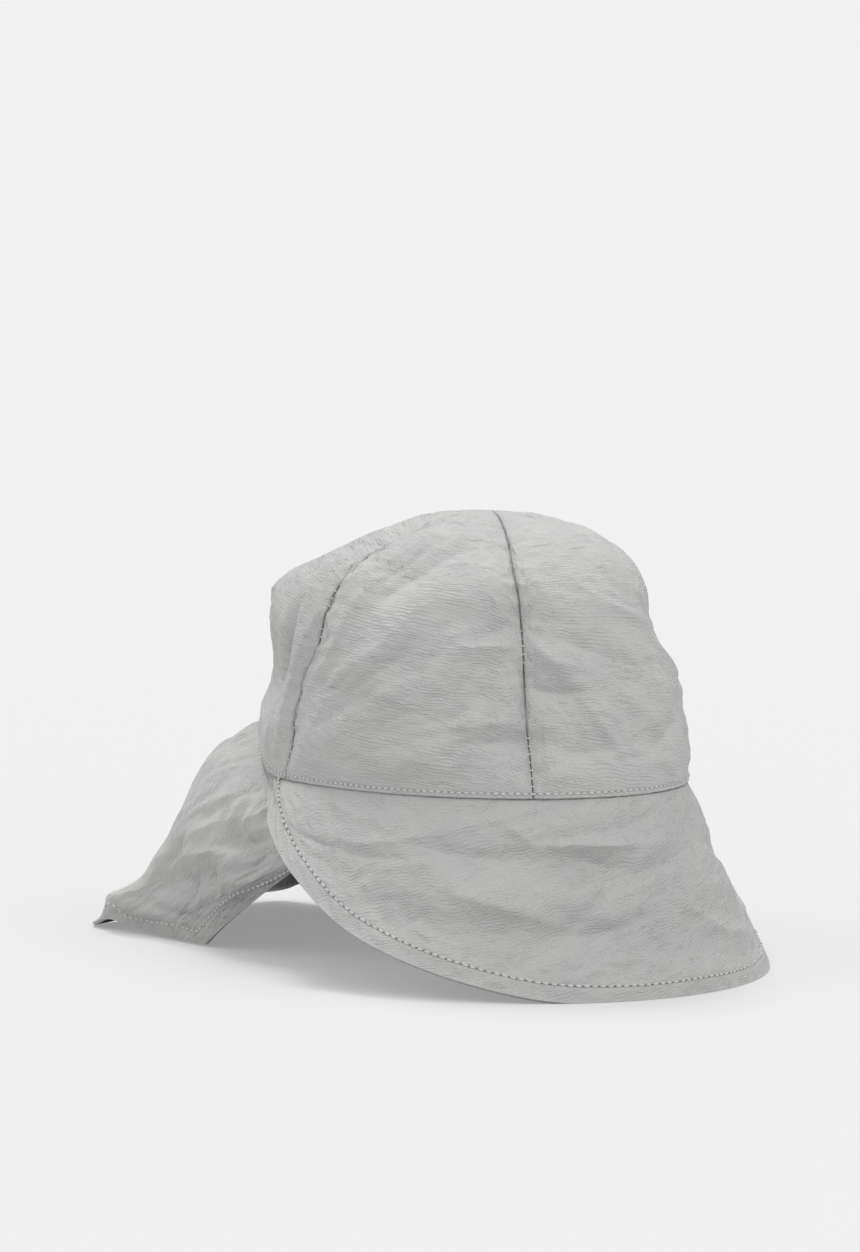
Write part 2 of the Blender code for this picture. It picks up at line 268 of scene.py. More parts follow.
FLAP_FOLDS = (
    FoldRow(-0.45, 0.86, 0.45, 0.14, 0, 0.040),
    FoldRow(-0.60, 0.66, 0.30, 0.15, 60, -0.030),
    FoldRow(-0.74, 0.52, 0.45, 0.11, -50, 0.020),
    FoldRow(-0.68, 0.31, 0.26, 0.10, 0, -0.018),
    FoldRow(-0.25, 0.45, 0.50, 0.14, 65, 0.016),
    FoldRow(0.00, 0.55, 0.60, 0.20, 85, -0.022),
    FoldRow(0.30, 0.50, 0.50, 0.15, -70, 0.018),
    FoldRow(0.46, 0.84, 0.40, 0.15, 0, 0.030),
    FoldRow(0.62, 0.60, 0.40, 0.14, -60, -0.024),
)

VISOR_RIM = (
    RimRow(0, 1.000, 1.00),
    RimRow(20, 1.000, 1.00),
    RimRow(35, 0.975, 1.00),
    RimRow(50, 0.895, 0.96),
    RimRow(65, 0.785, 0.88),
    RimRow(80, 0.640, 0.75),
    RimRow(90, 0.490, 0.67),
    RimRow(98, 0.350, 0.62),
    RimRow(105, 0.220, 0.51),
    RimRow(114, 0.095, 0.26),
    RimRow(124, 0.050, 0.04),
)

VISOR_SLOPE = (
    SlopeRow(0.00, 0.00, 0.00),
    SlopeRow(0.25, 0.26, 0.28),
    SlopeRow(0.50, 0.52, 0.51),
    SlopeRow(0.75, 0.78, 0.70),
    SlopeRow(0.90, 0.92, 0.88),
    SlopeRow(1.00, 1.00, 1.00),
)

FLAP_HEM = (
    HemRow(0.00, 0.000, 0.985, 0.060),
    HemRow(0.26, 0.215, 1.000, 0.015),
    HemRow(0.38, 0.320, 1.000, 0.000),
    HemRow(0.45, 0.367, 0.975, 0.010),
    HemRow(0.52, 0.381, 0.905, 0.050),
    HemRow(0.60, 0.374, 0.825, 0.024),
    HemRow(0.72, 0.377, 0.720, 0.008),
    HemRow(0.86, 0.385, 0.630, 0.000),
    HemRow(1.00, 0.393, 0.552, 0.000),
)

FLAP_CURL = (
    CurlRow(0.00, 0.040, 1.10, 0.00, 1.05, 0.50),
    CurlRow(0.43, 0.045, 1.00, 0.16, 1.10, 0.50),
    CurlRow(0.56, 0.095, 0.74, 0.36, 1.02, 0.52),
    CurlRow(0.64, 0.120, 0.60, 0.50, 0.95, 0.58),
    CurlRow(0.80, 0.110, 0.30, 0.80, 0.80, 0.70),
    CurlRow(1.00, 0.060, 0.40, 0.40, 0.65, 0.50),
)

SEAM_GAPE = (
    OpenRow(0.00, 0.30, 0.40, 0.40),
    OpenRow(0.06, 0.40, 0.45, 0.55),
    OpenRow(0.12, 0.45, 0.90, 0.60),
    OpenRow(0.16, 0.55, 1.10, 0.50),
    OpenRow(0.20, 0.80, 1.05, 0.40),
    OpenRow(0.26, 0.85, 0.25, 0.50),
    OpenRow(0.35, 0.50, 0.20, 0.60),
    OpenRow(0.40, 0.45, 1.20, 0.60),
    OpenRow(0.50, 0.75, 1.40, 0.40),
    OpenRow(0.54, 0.80, 0.22, 0.50),
    OpenRow(0.59, 0.80, 0.22, 0.55),
    OpenRow(0.63, 0.80, 1.10, 0.60),
    OpenRow(0.70, 0.75, 0.30, 0.50),
    OpenRow(0.84, 0.55, 0.20, 0.35),
    OpenRow(1.00, 0.20, 0.20, 0.20),
)

RIDGE, SHADED, LIT = FoldKind

CREASE_SHAPES = {RIDGE: (1.5, 1.5), SHADED: (-1.1, -2.2), LIT: (1.1, 2.2)}

WANDERING_SEAMS = {3: "right", 4: "centre"}

SEWN_RISES = {
    "centre": ((0.02, 0.15), (0.33, 0.43)),
    "right": ((0.02, 0.09), (0.12, 0.25), (0.37, 0.53)),
    "others": ((0.03, 0.90),),
}

SEAM_DRIFT = (
    DriftRow(0.00, -1.0, -5.0),
    DriftRow(0.09, -1.0, -4.2),
    DriftRow(0.18, -1.0, -2.6),
    DriftRow(0.26, -0.7, 0.0),
    DriftRow(0.33, -0.3, 4.5),
    DriftRow(0.40, 0.0, 6.8),
    DriftRow(0.50, 0.0, 8.0),
    DriftRow(0.62, 0.0, 8.0),
    DriftRow(0.71, 2.0, 7.0),
    DriftRow(0.85, 5.5, 3.0),
    DriftRow(1.00, 5.5, 0.0),
)

CROWN_CREASES = (
    Crease(-43, 0.423, 10, 3.6, 27, 1.10, SHADED),
    Crease(-43, 0.378, 10, 3.0, 4, 0.75, LIT),
    Crease(-30, 0.443, 7, 2.8, -10, 0.70, SHADED),
    Crease(-27, 0.262, 9, 5.0, -5, 1.50, SHADED),
    Crease(-20, 0.110, 12, 6.0, 4, 0.80, SHADED),
    Crease(-17, 0.194, 14, 3.6, -52, 0.95, RIDGE),
    Crease(-2, 0.090, 11, 2.6, 0, 0.60, SHADED),
    Crease(-46, 0.134, 13, 3.6, 3, 0.95, SHADED),
    Crease(-46, 0.179, 13, 3.2, 7, 0.70, LIT),
    Crease(-69, 0.085, 16, 4.2, 44, 0.80, RIDGE),
    Crease(-58, 0.174, 12, 4.4, 42, 0.90, SHADED),
    Crease(-54, 0.109, 12, 2.6, 58, 0.40, RIDGE),
    Crease(-88, 0.200, 18, 6.0, 30, 0.70, SHADED),
    Crease(-70, 0.580, 24, 11.0, 52, 2.20, SHADED),
    Crease(-13, 0.358, 18, 4.4, -19, 0.80, SHADED),
    Crease(-1, 0.453, 18, 4.0, -14, 0.60, LIT),
    Crease(-74, 0.318, 19, 5.4, 38, 0.80, SHADED),
    Crease(13, 0.139, 16, 6.0, 21, 1.10, SHADED),
    Crease(-109, 0.340, 30, 5.0, 65, 0.45, RIDGE),
    Crease(-119, 0.330, 15, 4.6, 70, -2.10, RIDGE),
    Crease(-130, 0.240, 24, 12.0, 78, -0.95, RIDGE),
    Crease(-77, 0.600, 12, 4.0, 60, 0.60, SHADED),
    Crease(-117, 0.110, 12, 2.6, 82, 0.60, RIDGE),
    Crease(-123, 0.130, 12, 2.8, 84, 0.55, RIDGE),
    Crease(28, 0.300, 14, 4.6, -50, 0.80, RIDGE),
    Crease(60, 0.420, 20, 5.4, 35, 0.90, SHADED),
    Crease(80, 0.200, 18, 5.4, -20, 0.90, SHADED),
    Crease(98, 0.500, 22, 6.0, -40, 0.80, LIT),
    Crease(130, 0.250, 16, 4.6, 60, 0.90, RIDGE),
    Crease(150, 0.520, 20, 6.0, 15, 0.90, SHADED),
    Crease(-170, 0.420, 20, 5.4, -25, 0.90, SHADED),
    Crease(-150, 0.400, 18, 4.6, 50, 0.80, LIT),
)

VISOR_CREASES = (
    Crease(-40, 0.185, 6, 2.2, 31, 0.45, LIT),
    Crease(-21, 0.228, 21, 3.2, 1, 1.15, LIT),
    Crease(-26, 0.175, 15, 3.0, -6, 0.75, SHADED),
    Crease(-8, 0.130, 16, 3.0, -8, 0.80, SHADED),
    Crease(-52, 0.300, 24, 7.0, 3, 1.20, SHADED),
    Crease(-22, 0.300, 13, 3.6, 10, 0.85, SHADED),
    Crease(-4, 0.336, 24, 4.2, -9, 1.30, SHADED),
    Crease(-25, 0.538, 20, 4.4, -34, 1.20, SHADED),
    Crease(-42, 0.560, 20, 7.0, 8, 1.10, LIT),
    Crease(-22, 0.630, 14, 3.6, -8, 1.00, SHADED),
    Crease(-21, 0.800, 7, 2.4, 10, 0.40, SHADED),
    Crease(-63, 0.731, 6, 2.6, -45, 0.50, SHADED),
    Crease(3, 0.560, 9, 2.0, 30, 0.25, RIDGE),
    Crease(7, 0.600, 11, 2.0, 33, 0.30, RIDGE),
    Crease(11, 0.650, 10, 2.0, 36, 0.25, RIDGE),
    Crease(17, 0.706, 28, 4.5, 10, 0.70, LIT),
    Crease(-66, 0.250, 18, 4.4, -21, 0.60, LIT),
    Crease(-74, 0.420, 16, 5.0, -16, 0.70, SHADED),
    Crease(-92, 0.560, 10, 3.6, -25, 0.45, SHADED),
    Crease(-2, 0.070, 14, 2.8, -16, 0.40, LIT),
    Crease(34, 0.360, 18, 4.8, 18, 1.00, SHADED),
    Crease(52, 0.600, 17, 4.8, -14, 0.90, SHADED),
    Crease(72, 0.330, 14, 4.4, 20, 0.80, SHADED),
    Crease(40, 0.700, 14, 4.4, 8, 0.60, LIT),
    Crease(86, 0.560, 10, 3.4, 24, 0.60, SHADED),
)

FLAP_CREASES = (
    Crease(-0.58, 0.840, 26, 7.0, -5, -1.10, RIDGE),
    Crease(-0.38, 0.140, 22, 11.0, 20, -0.75, RIDGE),
    Crease(-0.68, 0.500, 22, 2.8, -49, 1.10, RIDGE),
    Crease(-0.65, 0.314, 10, 5.5, 56, 1.60, SHADED),
    Crease(-0.50, 0.566, 10, 3.0, -81, 0.90, SHADED),
    Crease(-0.63, 0.679, 13, 3.2, -40, 1.00, SHADED),
    Crease(-0.68, 0.600, 11, 2.4, -45, 0.60, SHADED),
    Crease(-0.58, 0.480, 9, 4.0, 61, 0.90, LIT),
    Crease(-0.47, 0.840, 8, 5.0, 58, 0.60, LIT),
    Crease(-0.49, 0.283, 15, 1.8, 75, 0.45, RIDGE),
    Crease(-0.51, 0.240, 10, 1.8, 78, 0.40, RIDGE),
    Crease(-0.45, 0.321, 11, 1.8, 80, 0.40, RIDGE),
    Crease(-0.43, 0.220, 14, 1.9, 82, 0.45, RIDGE),
    Crease(-0.54, 0.350, 12, 1.8, 72, 0.40, RIDGE),
    Crease(-0.56, 0.195, 15, 1.8, -76, 0.45, RIDGE),
    Crease(-0.60, 0.182, 11, 1.8, -81, 0.40, RIDGE),
    Crease(-0.74, 0.371, 8, 2.8, -78, 0.60, SHADED),
    Crease(-0.20, 0.350, 20, 3.0, 84, 0.70, RIDGE),
    Crease(-0.06, 0.420, 22, 3.0, 92, 0.70, RIDGE),
    Crease(0.10, 0.380, 20, 3.0, 84, 0.70, RIDGE),
    Crease(0.24, 0.420, 20, 3.0, -84, 0.70, RIDGE),
    Crease(0.38, 0.350, 18, 3.0, -76, 0.70, RIDGE),
    Crease(0.55, 0.550, 16, 4.4, -50, 0.90, SHADED),
    Crease(0.70, 0.350, 14, 4.4, 10, 0.80, SHADED),
    Crease(0.05, 0.760, 18, 4.6, 10, 0.80, SHADED),
)

LAMPS = (
    LampRow("soft_overhead", 1.00, 18.0, 26.0, 160.0),
    LampRow("soft_front", 0.84, 46.0, 48.0, -4.0),
    LampRow("soft_side", 0.42, 50.0, 64.0, -128.0),
)

PANEL_COLUMNS_BUNCH = 0.88
MILLIMETRES = 1000.0
WAVE_UNIT = 0.05
SHEET_CLEARANCE = 0.0002
FLOOR_CLEARANCE = 0.0001

CROWN_ROWS = (
    GridRow(0.00, 0.0000),
    GridRow(0.08, 0.0008),
    GridRow(0.18, 0.0045),
    GridRow(0.24, 0.0080),
    GridRow(1.00, 0.1482),
)

VISOR_ROWS = (
    GridRow(0.00, 0.0000),
    GridRow(0.08, 0.0014),
    GridRow(0.22, 0.0100),
    GridRow(1.00, 0.0770),
)

FLAP_ROWS = (
    GridRow(0.00, 0.0000),
    GridRow(0.05, 0.0012),
    GridRow(0.16, 0.0070),
    GridRow(1.00, 0.1100),
)


def smooth_step(value: Array, low: float, high: float) -> Array:
    """Go from 0 at low to 1 at high without a corner.

    Args:
        value: Places to read the step at.
        low: Where the step starts.
        high: Where the step ends.

    Returns:
        Shares from 0 to 1.
    """
    share = np.clip((value - low) / (high - low), 0.0, 1.0)
    return share * share * (3.0 - 2.0 * share)


def wrapped(turn: Array) -> Array:
    """Bring a turn into the range from -180 to 180 degrees."""
    return (turn + 180.0) % 360.0 - 180.0


def curve_through(table: Sequence[NamedTuple], column: str, at: Array) -> Array:
    """Read a smooth curve through one column of a table.

    Args:
        table: Rows whose first column is the key, in rising order.
        column: Name of the column to read.
        at: Keys to read the curve at.

    Returns:
        The column's value at each key.
    """
    keys = np.array([row[0] for row in table], float)
    values = np.array([getattr(row, column) for row in table], float)
    slopes = np.gradient(values, keys)
    at = np.clip(at, keys[0], keys[-1])
    left = np.clip(np.searchsorted(keys, at, side="right") - 1, 0, len(keys) - 2)
    span = keys[left + 1] - keys[left]
    share = (at - keys[left]) / span
    rest = 1.0 - share
    start = rest * rest * ((1.0 + 2.0 * share) * values[left] + share * span * slopes[left])
    end = share * share * ((3.0 - 2.0 * share) * values[left + 1] - rest * span * slopes[left + 1])
    return start + end


def unit(vectors: Array) -> Array:
    """Scale vectors to length one."""
    return vectors / np.maximum(np.linalg.norm(vectors, axis=-1, keepdims=True), 1e-12)


def points(x: Array, y: Array, z: Array) -> Array:
    """Stack coordinates of any matching shapes into points."""
    return np.stack(np.broadcast_arrays(x, y, z), axis=-1)


def outward_of(surface: Surface, across: Array, along: Array, step: tuple[float, float]) -> Array:
    """Direction straight out of a surface.

    Args:
        surface: The surface, across and along.
        across: Places across.
        along: Places along.
        step: Small steps across and along, signed so that the result points out.

    Returns:
        Unit vectors.
    """
    sideways = surface(across + step[0], along) - surface(across - step[0], along)
    onward = surface(across, along + step[1]) - surface(across, along - step[1])
    return unit(np.cross(sideways, onward))


def rows_along(table: Sequence[GridRow], up: Array, tuck_lines: float) -> Array:
    """Shares along a sheet at shares of its grid rows, from its hem up.

    Args:
        table: How the rows are spread from the hem.
        up: Shares of the grid's rows.
        tuck_lines: Share of the rows that the tucked strip takes.

    Returns:
        1 at the hem, 0 at the seam and -1 at the end of the tucked strip.
    """
    seam = 1.0 - tuck_lines
    along = 1.0 - spread_lines(table, np.minimum(up / seam, 1.0)) / table[-1].distance
    return np.where(up > seam, -(up - seam) / tuck_lines, along)


def spread_lines(table: Sequence[GridRow], share: Array) -> Array:
    """Distances from a sheet's edge at shares of its grid lines."""
    lines = [row.lines for row in table]
    return np.interp(share, lines, [row.distance for row in table])


class ClothNoise:
    """Smooth noise over flat cloth that comes out the same on every run."""

    SIDE = 128

    def __init__(self, seed: int) -> None:
        """Draw the slopes at the noise's grid points.

        Args:
            seed: Number that fixes the noise.
        """
        angles = np.random.default_rng(seed).uniform(0.0, 2.0 * math.pi, (self.SIDE, self.SIDE))
        self.slopes = np.stack([np.cos(angles), np.sin(angles)], axis=-1)

    @staticmethod
    def in_creases(u: Array, v: Array, row: CrumpleRow, lean: Array) -> tuple[Array, Array]:
        """Count places on the cloth in creases.

        Args:
            u: Places across the cloth, in metres.
            v: Places along the cloth, in metres.
            row: Size and lean of the creases.
            lean: Further lean at each place, in degrees.

        Returns:
            Creases lengthwise and creases crosswise.
        """
        turn = np.radians(row.lean + lean)
        lengthwise = (u * np.cos(turn) + v * np.sin(turn)) / row.length
        crosswise = (v * np.cos(turn) - u * np.sin(turn)) / row.width
        return lengthwise, crosswise

    def corner(self, i: Array, j: Array, du: Array, dv: Array) -> Array:
        """Height that one grid point's slope gives at an offset from it."""
        slope = self.slopes[i % self.SIDE, j % self.SIDE]
        return slope[..., 0] * du + slope[..., 1] * dv

    def at(self, u: Array, v: Array) -> Array:
        """Read the noise, about -1 to 1.

        Args:
            u: First coordinate, in grid steps.
            v: Second coordinate, in grid steps.

        Returns:
            The noise at each place.
        """
        u, v = np.broadcast_arrays(u, v)
        i, j = np.floor(u).astype(int), np.floor(v).astype(int)
        du, dv = u - i, v - j
        ease_u = du * du * du * (du * (6.0 * du - 15.0) + 10.0)
        ease_v = dv * dv * dv * (dv * (6.0 * dv - 15.0) + 10.0)
        near = self.corner(i, j, du, dv) * (1.0 - ease_u) + self.corner(i + 1, j, du - 1.0, dv) * ease_u
        far_left = self.corner(i, j + 1, du, dv - 1.0)
        far_right = self.corner(i + 1, j + 1, du - 1.0, dv - 1.0)
        far = far_left * (1.0 - ease_u) + far_right * ease_u
        return 1.5 * (near * (1.0 - ease_v) + far * ease_v)

    def crumple(self, u: Array, v: Array, row: CrumpleRow, lean: Array = 0.0) -> Array:
        """Soft creases that run one way, in two sizes.

        Args:
            u: Places across the cloth, in metres.
            v: Places along the cloth, in metres.
            row: Size and lean of the creases.
            lean: Further lean at each place, in degrees.

        Returns:
            Shares of the row's height, from about -1 to 1.
        """
        lengthwise, crosswise = self.in_creases(u, v, row, lean)
        bend = 0.6 * self.at(lengthwise * 0.7 + 31.0, crosswise * 0.35 + 7.0)
        large = self.at(lengthwise, crosswise + bend)
        small = self.at(2.1 * lengthwise + 11.0, 2.1 * (crosswise + bend) + 5.0)
        return large + 0.45 * small

    def pinched(self, u: Array, v: Array, row: CrumpleRow, lean: Array = 0.0) -> Array:
        """Creases with a sharp crest, as in cloth that has been crushed.

        Args:
            u: Places across the cloth, in metres.
            v: Places along the cloth, in metres.
            row: Size and lean of the creases.
            lean: Further lean at each place, in degrees.

        Returns:
            Shares of the row's height, from about -1 to 0.4 along the crests.
        """
        lengthwise, crosswise = self.in_creases(u, v, row, lean)
        bend = 0.8 * self.at(lengthwise * 0.6 + 17.0, crosswise * 0.4 + 3.0)
        level = self.at(lengthwise + 0.4 * bend, crosswise + bend)
        return 0.4 - 1.6 * np.sqrt(level * level + 0.0005)


@dataclass(frozen=True)
class Sewing:
    """Cloth, thread and seam sizes of the whole cap, in metres."""

    cloth: float = 0.0006
    folded_edge: float = 0.0008
    hem: float = 0.0014
    visor_inset: float = 0.00105
    flap_inset: float = 0.00200
    open_inset: float = 0.00110
    seam_dip: float = 0.0022
    seam_spread: float = 0.0070
    pillow: float = 0.0020
    edge_roll: float = 0.00065
    visor_hem_width: float = 0.0075
    flap_hem_width: float = 0.0046
    flap_side_width: float = 0.0064
    edge_stitch_height: float = 0.0018


@dataclass(frozen=True)
class CapPattern:
    """Main sizes of the cap, in metres and degrees, and its bare surfaces."""

    sewing: Sewing
    head_length: float = 0.177
    head_width: float = 0.139
    seam_height: float = 0.070
    back_lift: float = 0.0195
    back_draw: float = 0.008
    ear_fullness: float = 0.0024
    crown_height: float = 0.099
    tip_rise: float = 0.998
    panel_count: int = 5
    tuck_rise: float = 0.035
    visor_half_turn: float = 124.0
    visor_flare: float = 0.032
    flap_half_turn: float = 100.0
    flap_reach: float = 0.1635
    hem_lift: float = 0.00105
    left_lift: float = 0.0036
    floor_sink: float = 0.0003
    crease_strength: float = 2.5
    drift_spread: float = 22.0

    @property
    def mean_radius(self) -> float:
        """Mean radius of the head opening."""
        return (self.head_length + self.head_width) / 4.0

    @property
    def climb(self) -> float:
        """Length over the crown from its seam to its top."""
        return self.crown_height * 1.5

    @property
    def centre_y(self) -> float:
        """Place of the opening's middle in the frame of the solids."""
        return (self.head_length / 2.0 + self.visor_flare - self.flap_reach) / 2.0

    @property
    def panel_step(self) -> float:
        """Turn taken by one crown panel."""
        return 360.0 / self.panel_count

    @property
    def flap_fold_width(self) -> float:
        """Metres for each unit across the flap, for its folds."""
        return self.head_length * 0.8

    @property
    def flap_fold_length(self) -> float:
        """Metres from the flap's seam to its hem, for its folds."""
        return self.seam_height * 1.6

    def crown_degree(self, rise: Array) -> Array:
        """Metres for each degree around the crown, for its folds."""
        radius = np.maximum(curve_through(CROWN_PROFILE, "radius", rise), 0.25)
        return np.radians(1.0) * self.mean_radius * radius

    def visor_degree(self, below: Array) -> Array:
        """Metres for each degree around the visor, for its folds."""
        return np.radians(1.0) * (self.mean_radius + self.visor_flare * below)

    def opening(self, turn: Array) -> tuple[Array, ...]:
        """Place on the head opening and the direction straight out of it.

        Args:
            turn: Turns in degrees.

        Returns:
            The place's x and y, then the direction's x and y.
        """
        angle = np.radians(turn)
        half_width, half_length = self.head_width / 2.0, self.head_length / 2.0
        x = half_width * np.sin(angle)
        y = -half_length * np.cos(angle)
        out_x, out_y = x / half_width**2, y / half_length**2
        size = np.hypot(out_x, out_y)
        return x, y, out_x / size, out_y / size

    def seam_level(self, turn: Array) -> Array:
        """Height of the crown's lower edge, lifted at the back by the elastic."""
        return self.seam_height + self.back_lift * smooth_step(np.abs(wrapped(turn)), 116.0, 160.0)

    def lower_draw(self, side: Array) -> Array:
        """Pull of the elastic at the back, less the fullness kept behind the ears."""
        fullness = self.ear_fullness * np.exp(-(((side - 130.0) / 20.0) ** 2))
        return self.back_draw * smooth_step(side, 135.0, 172.0) - fullness

    def folds(
        self,
        table: Sequence[FoldRow],
        across: Array,
        along: Array,
        side_length: Array,
        along_length: float,
    ) -> Array:
        """Add up the outward push of a table's soft folds.

        Args:
            table: The folds.
            across: Places across, in the table's unit.
            along: Places along, as shares.
            side_length: Metres for each unit across.
            along_length: Metres for the whole length along.

        Returns:
            The push at each place, in metres.
        """
        half_width = self.head_width / 2.0
        total = np.zeros(np.broadcast(across, along).shape)
        for row in table:
            sideways = wrapped(across - row.across) * side_length / half_width
            upward = (along - row.along) * along_length / half_width
            lean = math.radians(row.lean)
            lengthwise = (sideways * math.cos(lean) + upward * math.sin(lean)) / row.length
            crosswise = (upward * math.cos(lean) - sideways * math.sin(lean)) / row.width
            total = total + row.push * self.head_width * np.exp(-(lengthwise**2) - crosswise**2)
        return total

    def creases(
        self,
        table: Sequence[Crease],
        across: Array,
        along: Array,
        side_length: Array,
        along_length: float,
        downward: float,
    ) -> Array:
        """Add up the outward push of a table's small creases.

        Args:
            table: The creases.
            across: Places across, in the table's unit.
            along: Places along, as shares.
            side_length: Metres for each unit across.
            along_length: Metres for the whole length along.
            downward: 1 where along runs down the cloth, -1 where it runs up.

        Returns:
            The push at each place, in metres.
        """
        total = np.zeros(np.broadcast(across, along).shape)
        for row in table:
            sideways = wrapped(across - row.across) * side_length * MILLIMETRES
            onward = (along - row.along) * along_length * MILLIMETRES
            lean = math.radians(row.lean)
            lengthwise = (sideways * math.cos(lean) + onward * math.sin(lean)) / row.length
            crosswise = (onward * math.cos(lean) - sideways * math.sin(lean)) / row.width
            above = -downward * crosswise
            upper, lower = CREASE_SHAPES[row.kind]
            away = np.sqrt(crosswise**2 + 0.02) - 0.14
            bump = np.exp(-(lengthwise**2) - away * np.where(above > 0.0, abs(upper), abs(lower)))
            total = total + math.copysign(1.0 / MILLIMETRES, upper) * row.height * bump
        return self.crease_strength * total

    def crown_base(self, turn: Array, rise: Array) -> Array:
        """Crown surface before its seams and folds.

        Args:
            turn: Turns in degrees.
            rise: Rises, as shares.

        Returns:
            Points, in the frame of the opening.
        """
        x, y, out_x, out_y = self.opening(turn)
        radius = curve_through(CROWN_PROFILE, "radius", rise)
        height = curve_through(CROWN_PROFILE, "height", rise)
        low = self.seam_level(turn)
        draw = self.lower_draw(np.abs(wrapped(turn))) * (1.0 - smooth_step(rise, 0.0, 0.24))
        left = self.head_width * curve_through(CROWN_LEAN, "left", rise)
        back = self.head_width * curve_through(CROWN_LEAN, "back", rise)
        return points(
            x * radius - out_x * draw + left,
            y * radius - out_y * draw + back,
            low + (self.seam_height + self.crown_height - low) * height,
        )

    def crown_outward(self, turn: Array, rise: Array) -> Array:
        """Direction straight out of the crown.

        Args:
            turn: Turns in degrees.
            rise: Rises, as shares.

        Returns:
            Unit vectors.
        """
        half_turn, half_rise = 0.5, 0.004
        rise = np.clip(rise, half_rise, 0.985)
        around = self.crown_base(turn + half_turn, rise) - self.crown_base(turn - half_turn, rise)
        upward = self.crown_base(turn, rise + half_rise) - self.crown_base(turn, rise - half_rise)
        return unit(np.cross(around, upward))

    def seam_turn(self, seam: int, rise: Array) -> Array:
        """Turn of a panel seam at a rise, where two of the seams wander.

        Args:
            seam: Number of the seam: 4 at the centre of the photographed side, 3 at the cap's right.
            rise: Rises along the seam.

        Returns:
            Turns in degrees.
        """
        even = np.full(np.shape(rise), (seam + 0.5) * self.panel_step)
        column = WANDERING_SEAMS.get(seam)
        return even + curve_through(SEAM_DRIFT, column, rise) if column else even

    def evened(self, turn: Array, rise: Array) -> Array:
        """Turn that a place would have if every seam ran straight up.

        Args:
            turn: Turns in degrees.
            rise: Rises, as shares.

        Returns:
            Turns with the wander of the nearest seam taken out.
        """
        turn, rise = np.broadcast_arrays(turn, rise)
        moved = np.zeros(turn.shape)
        for seam in WANDERING_SEAMS:
            there = self.seam_turn(seam, rise)
            drift = there - (seam + 0.5) * self.panel_step
            moved = moved + drift * np.exp(-((wrapped(turn - there) / self.drift_spread) ** 2))
        return turn - moved

    def past_seam(self, turn: Array, rise: Array) -> Array:
        """Degrees to the nearest panel seam."""
        past = (self.evened(turn, rise) - self.panel_step / 2.0) % self.panel_step
        return np.minimum(past, self.panel_step - past)

    def from_seam(self, turn: Array, rise: Array) -> Array:
        """Distance to the nearest panel seam, in metres."""
        radius = self.mean_radius * curve_through(CROWN_PROFILE, "radius", rise)
        return np.radians(self.past_seam(turn, rise)) * radius

    def seam_shape(self, turn: Array, rise: Array) -> Array:
        """Panels that swell a little and seams that pull in between them.

        Args:
            turn: Turns in degrees.
            rise: Rises, as shares.

        Returns:
            The push outward at each place, in metres.
        """
        degrees = self.past_seam(turn, rise)
        dip = self.sewing.seam_dip * np.exp(-((self.from_seam(turn, rise) / self.sewing.seam_spread) ** 2))
        swell = self.sewing.pillow * np.sin(math.pi * degrees / self.panel_step)
        return (swell - dip) * smooth_step(rise, 0.0, 0.10) * (1.0 - smooth_step(rise, 0.74, 0.96))

    def crown(self, turn: Array, rise: Array, inset: Array = 0.0) -> Array:
        """Crown surface with its soft folds, or a layer set in behind it.

        Args:
            turn: Turns in degrees.
            rise: Rises, as shares.
            inset: Distance behind the outer surface, negative to push out.

        Returns:
            Points, in the frame of the opening.
        """
        calm = smooth_step(rise, 0.0, 0.06) * (1.0 - smooth_step(rise, 0.78, 0.95))
        soft = self.folds(CROWN_FOLDS, turn, rise, self.crown_degree(rise), self.climb)
        push = self.seam_shape(turn, rise) + calm * soft
        return self.crown_base(turn, rise) + self.crown_outward(turn, rise) * (push - inset)[..., None]

    def visor(self, turn: Array, along: Array, push: Array = 0.0) -> Array:
        """Visor surface; along below 0 is the strip tucked behind the crown.

        Args:
            turn: Turns in degrees.
            along: Shares from the seam to the rim.
            push: Further push straight out, in metres.

        Returns:
            Points, in the frame of the opening.
        """
        below = np.clip(along, 0.0, 1.0)
        tuck = self.tuck_rise * np.clip(-along, 0.0, 1.0)
        start = self.crown(turn, tuck, np.full(np.shape(turn), self.sewing.visor_inset))
        out_x, out_y = self.opening(turn)[2:]
        side = np.abs(turn)
        flare = self.visor_flare * curve_through(VISOR_RIM, "flare", side)
        out = flare * curve_through(VISOR_SLOPE, "out", below)
        drop = (self.seam_height + self.floor_sink) * curve_through(VISOR_RIM, "drop", side)
        down = drop * curve_through(VISOR_SLOPE, "down", below)
        soft = self.folds(VISOR_FOLDS, turn, below, self.visor_degree(below), self.seam_height)
        soft = soft * smooth_step(below, 0.0, 0.12) * (1.0 - smooth_step(below, 0.85, 1.0))
        far = out + soft + push
        return start + points(out_x * far, out_y * far, -down + 0.35 * push)

    def flap_hem(self, across: Array) -> Array:
        """Place on the flap's hem.

        Args:
            across: Places across, -1 and 1 at the front corners.

        Returns:
            Points, in the frame of the opening.
        """
        side = np.abs(across)
        x = np.sign(across) * self.head_width * curve_through(FLAP_HEM, "side", side)
        y = self.flap_reach * curve_through(FLAP_HEM, "back", side)
        z = self.seam_height * np.maximum(curve_through(FLAP_HEM, "lift", side), 0.0) + self.hem_lift
        z = z + self.left_lift * smooth_step(across, 0.12, 0.34) * (1.0 - smooth_step(across, 0.52, 0.72))
        return points(x, y, z)

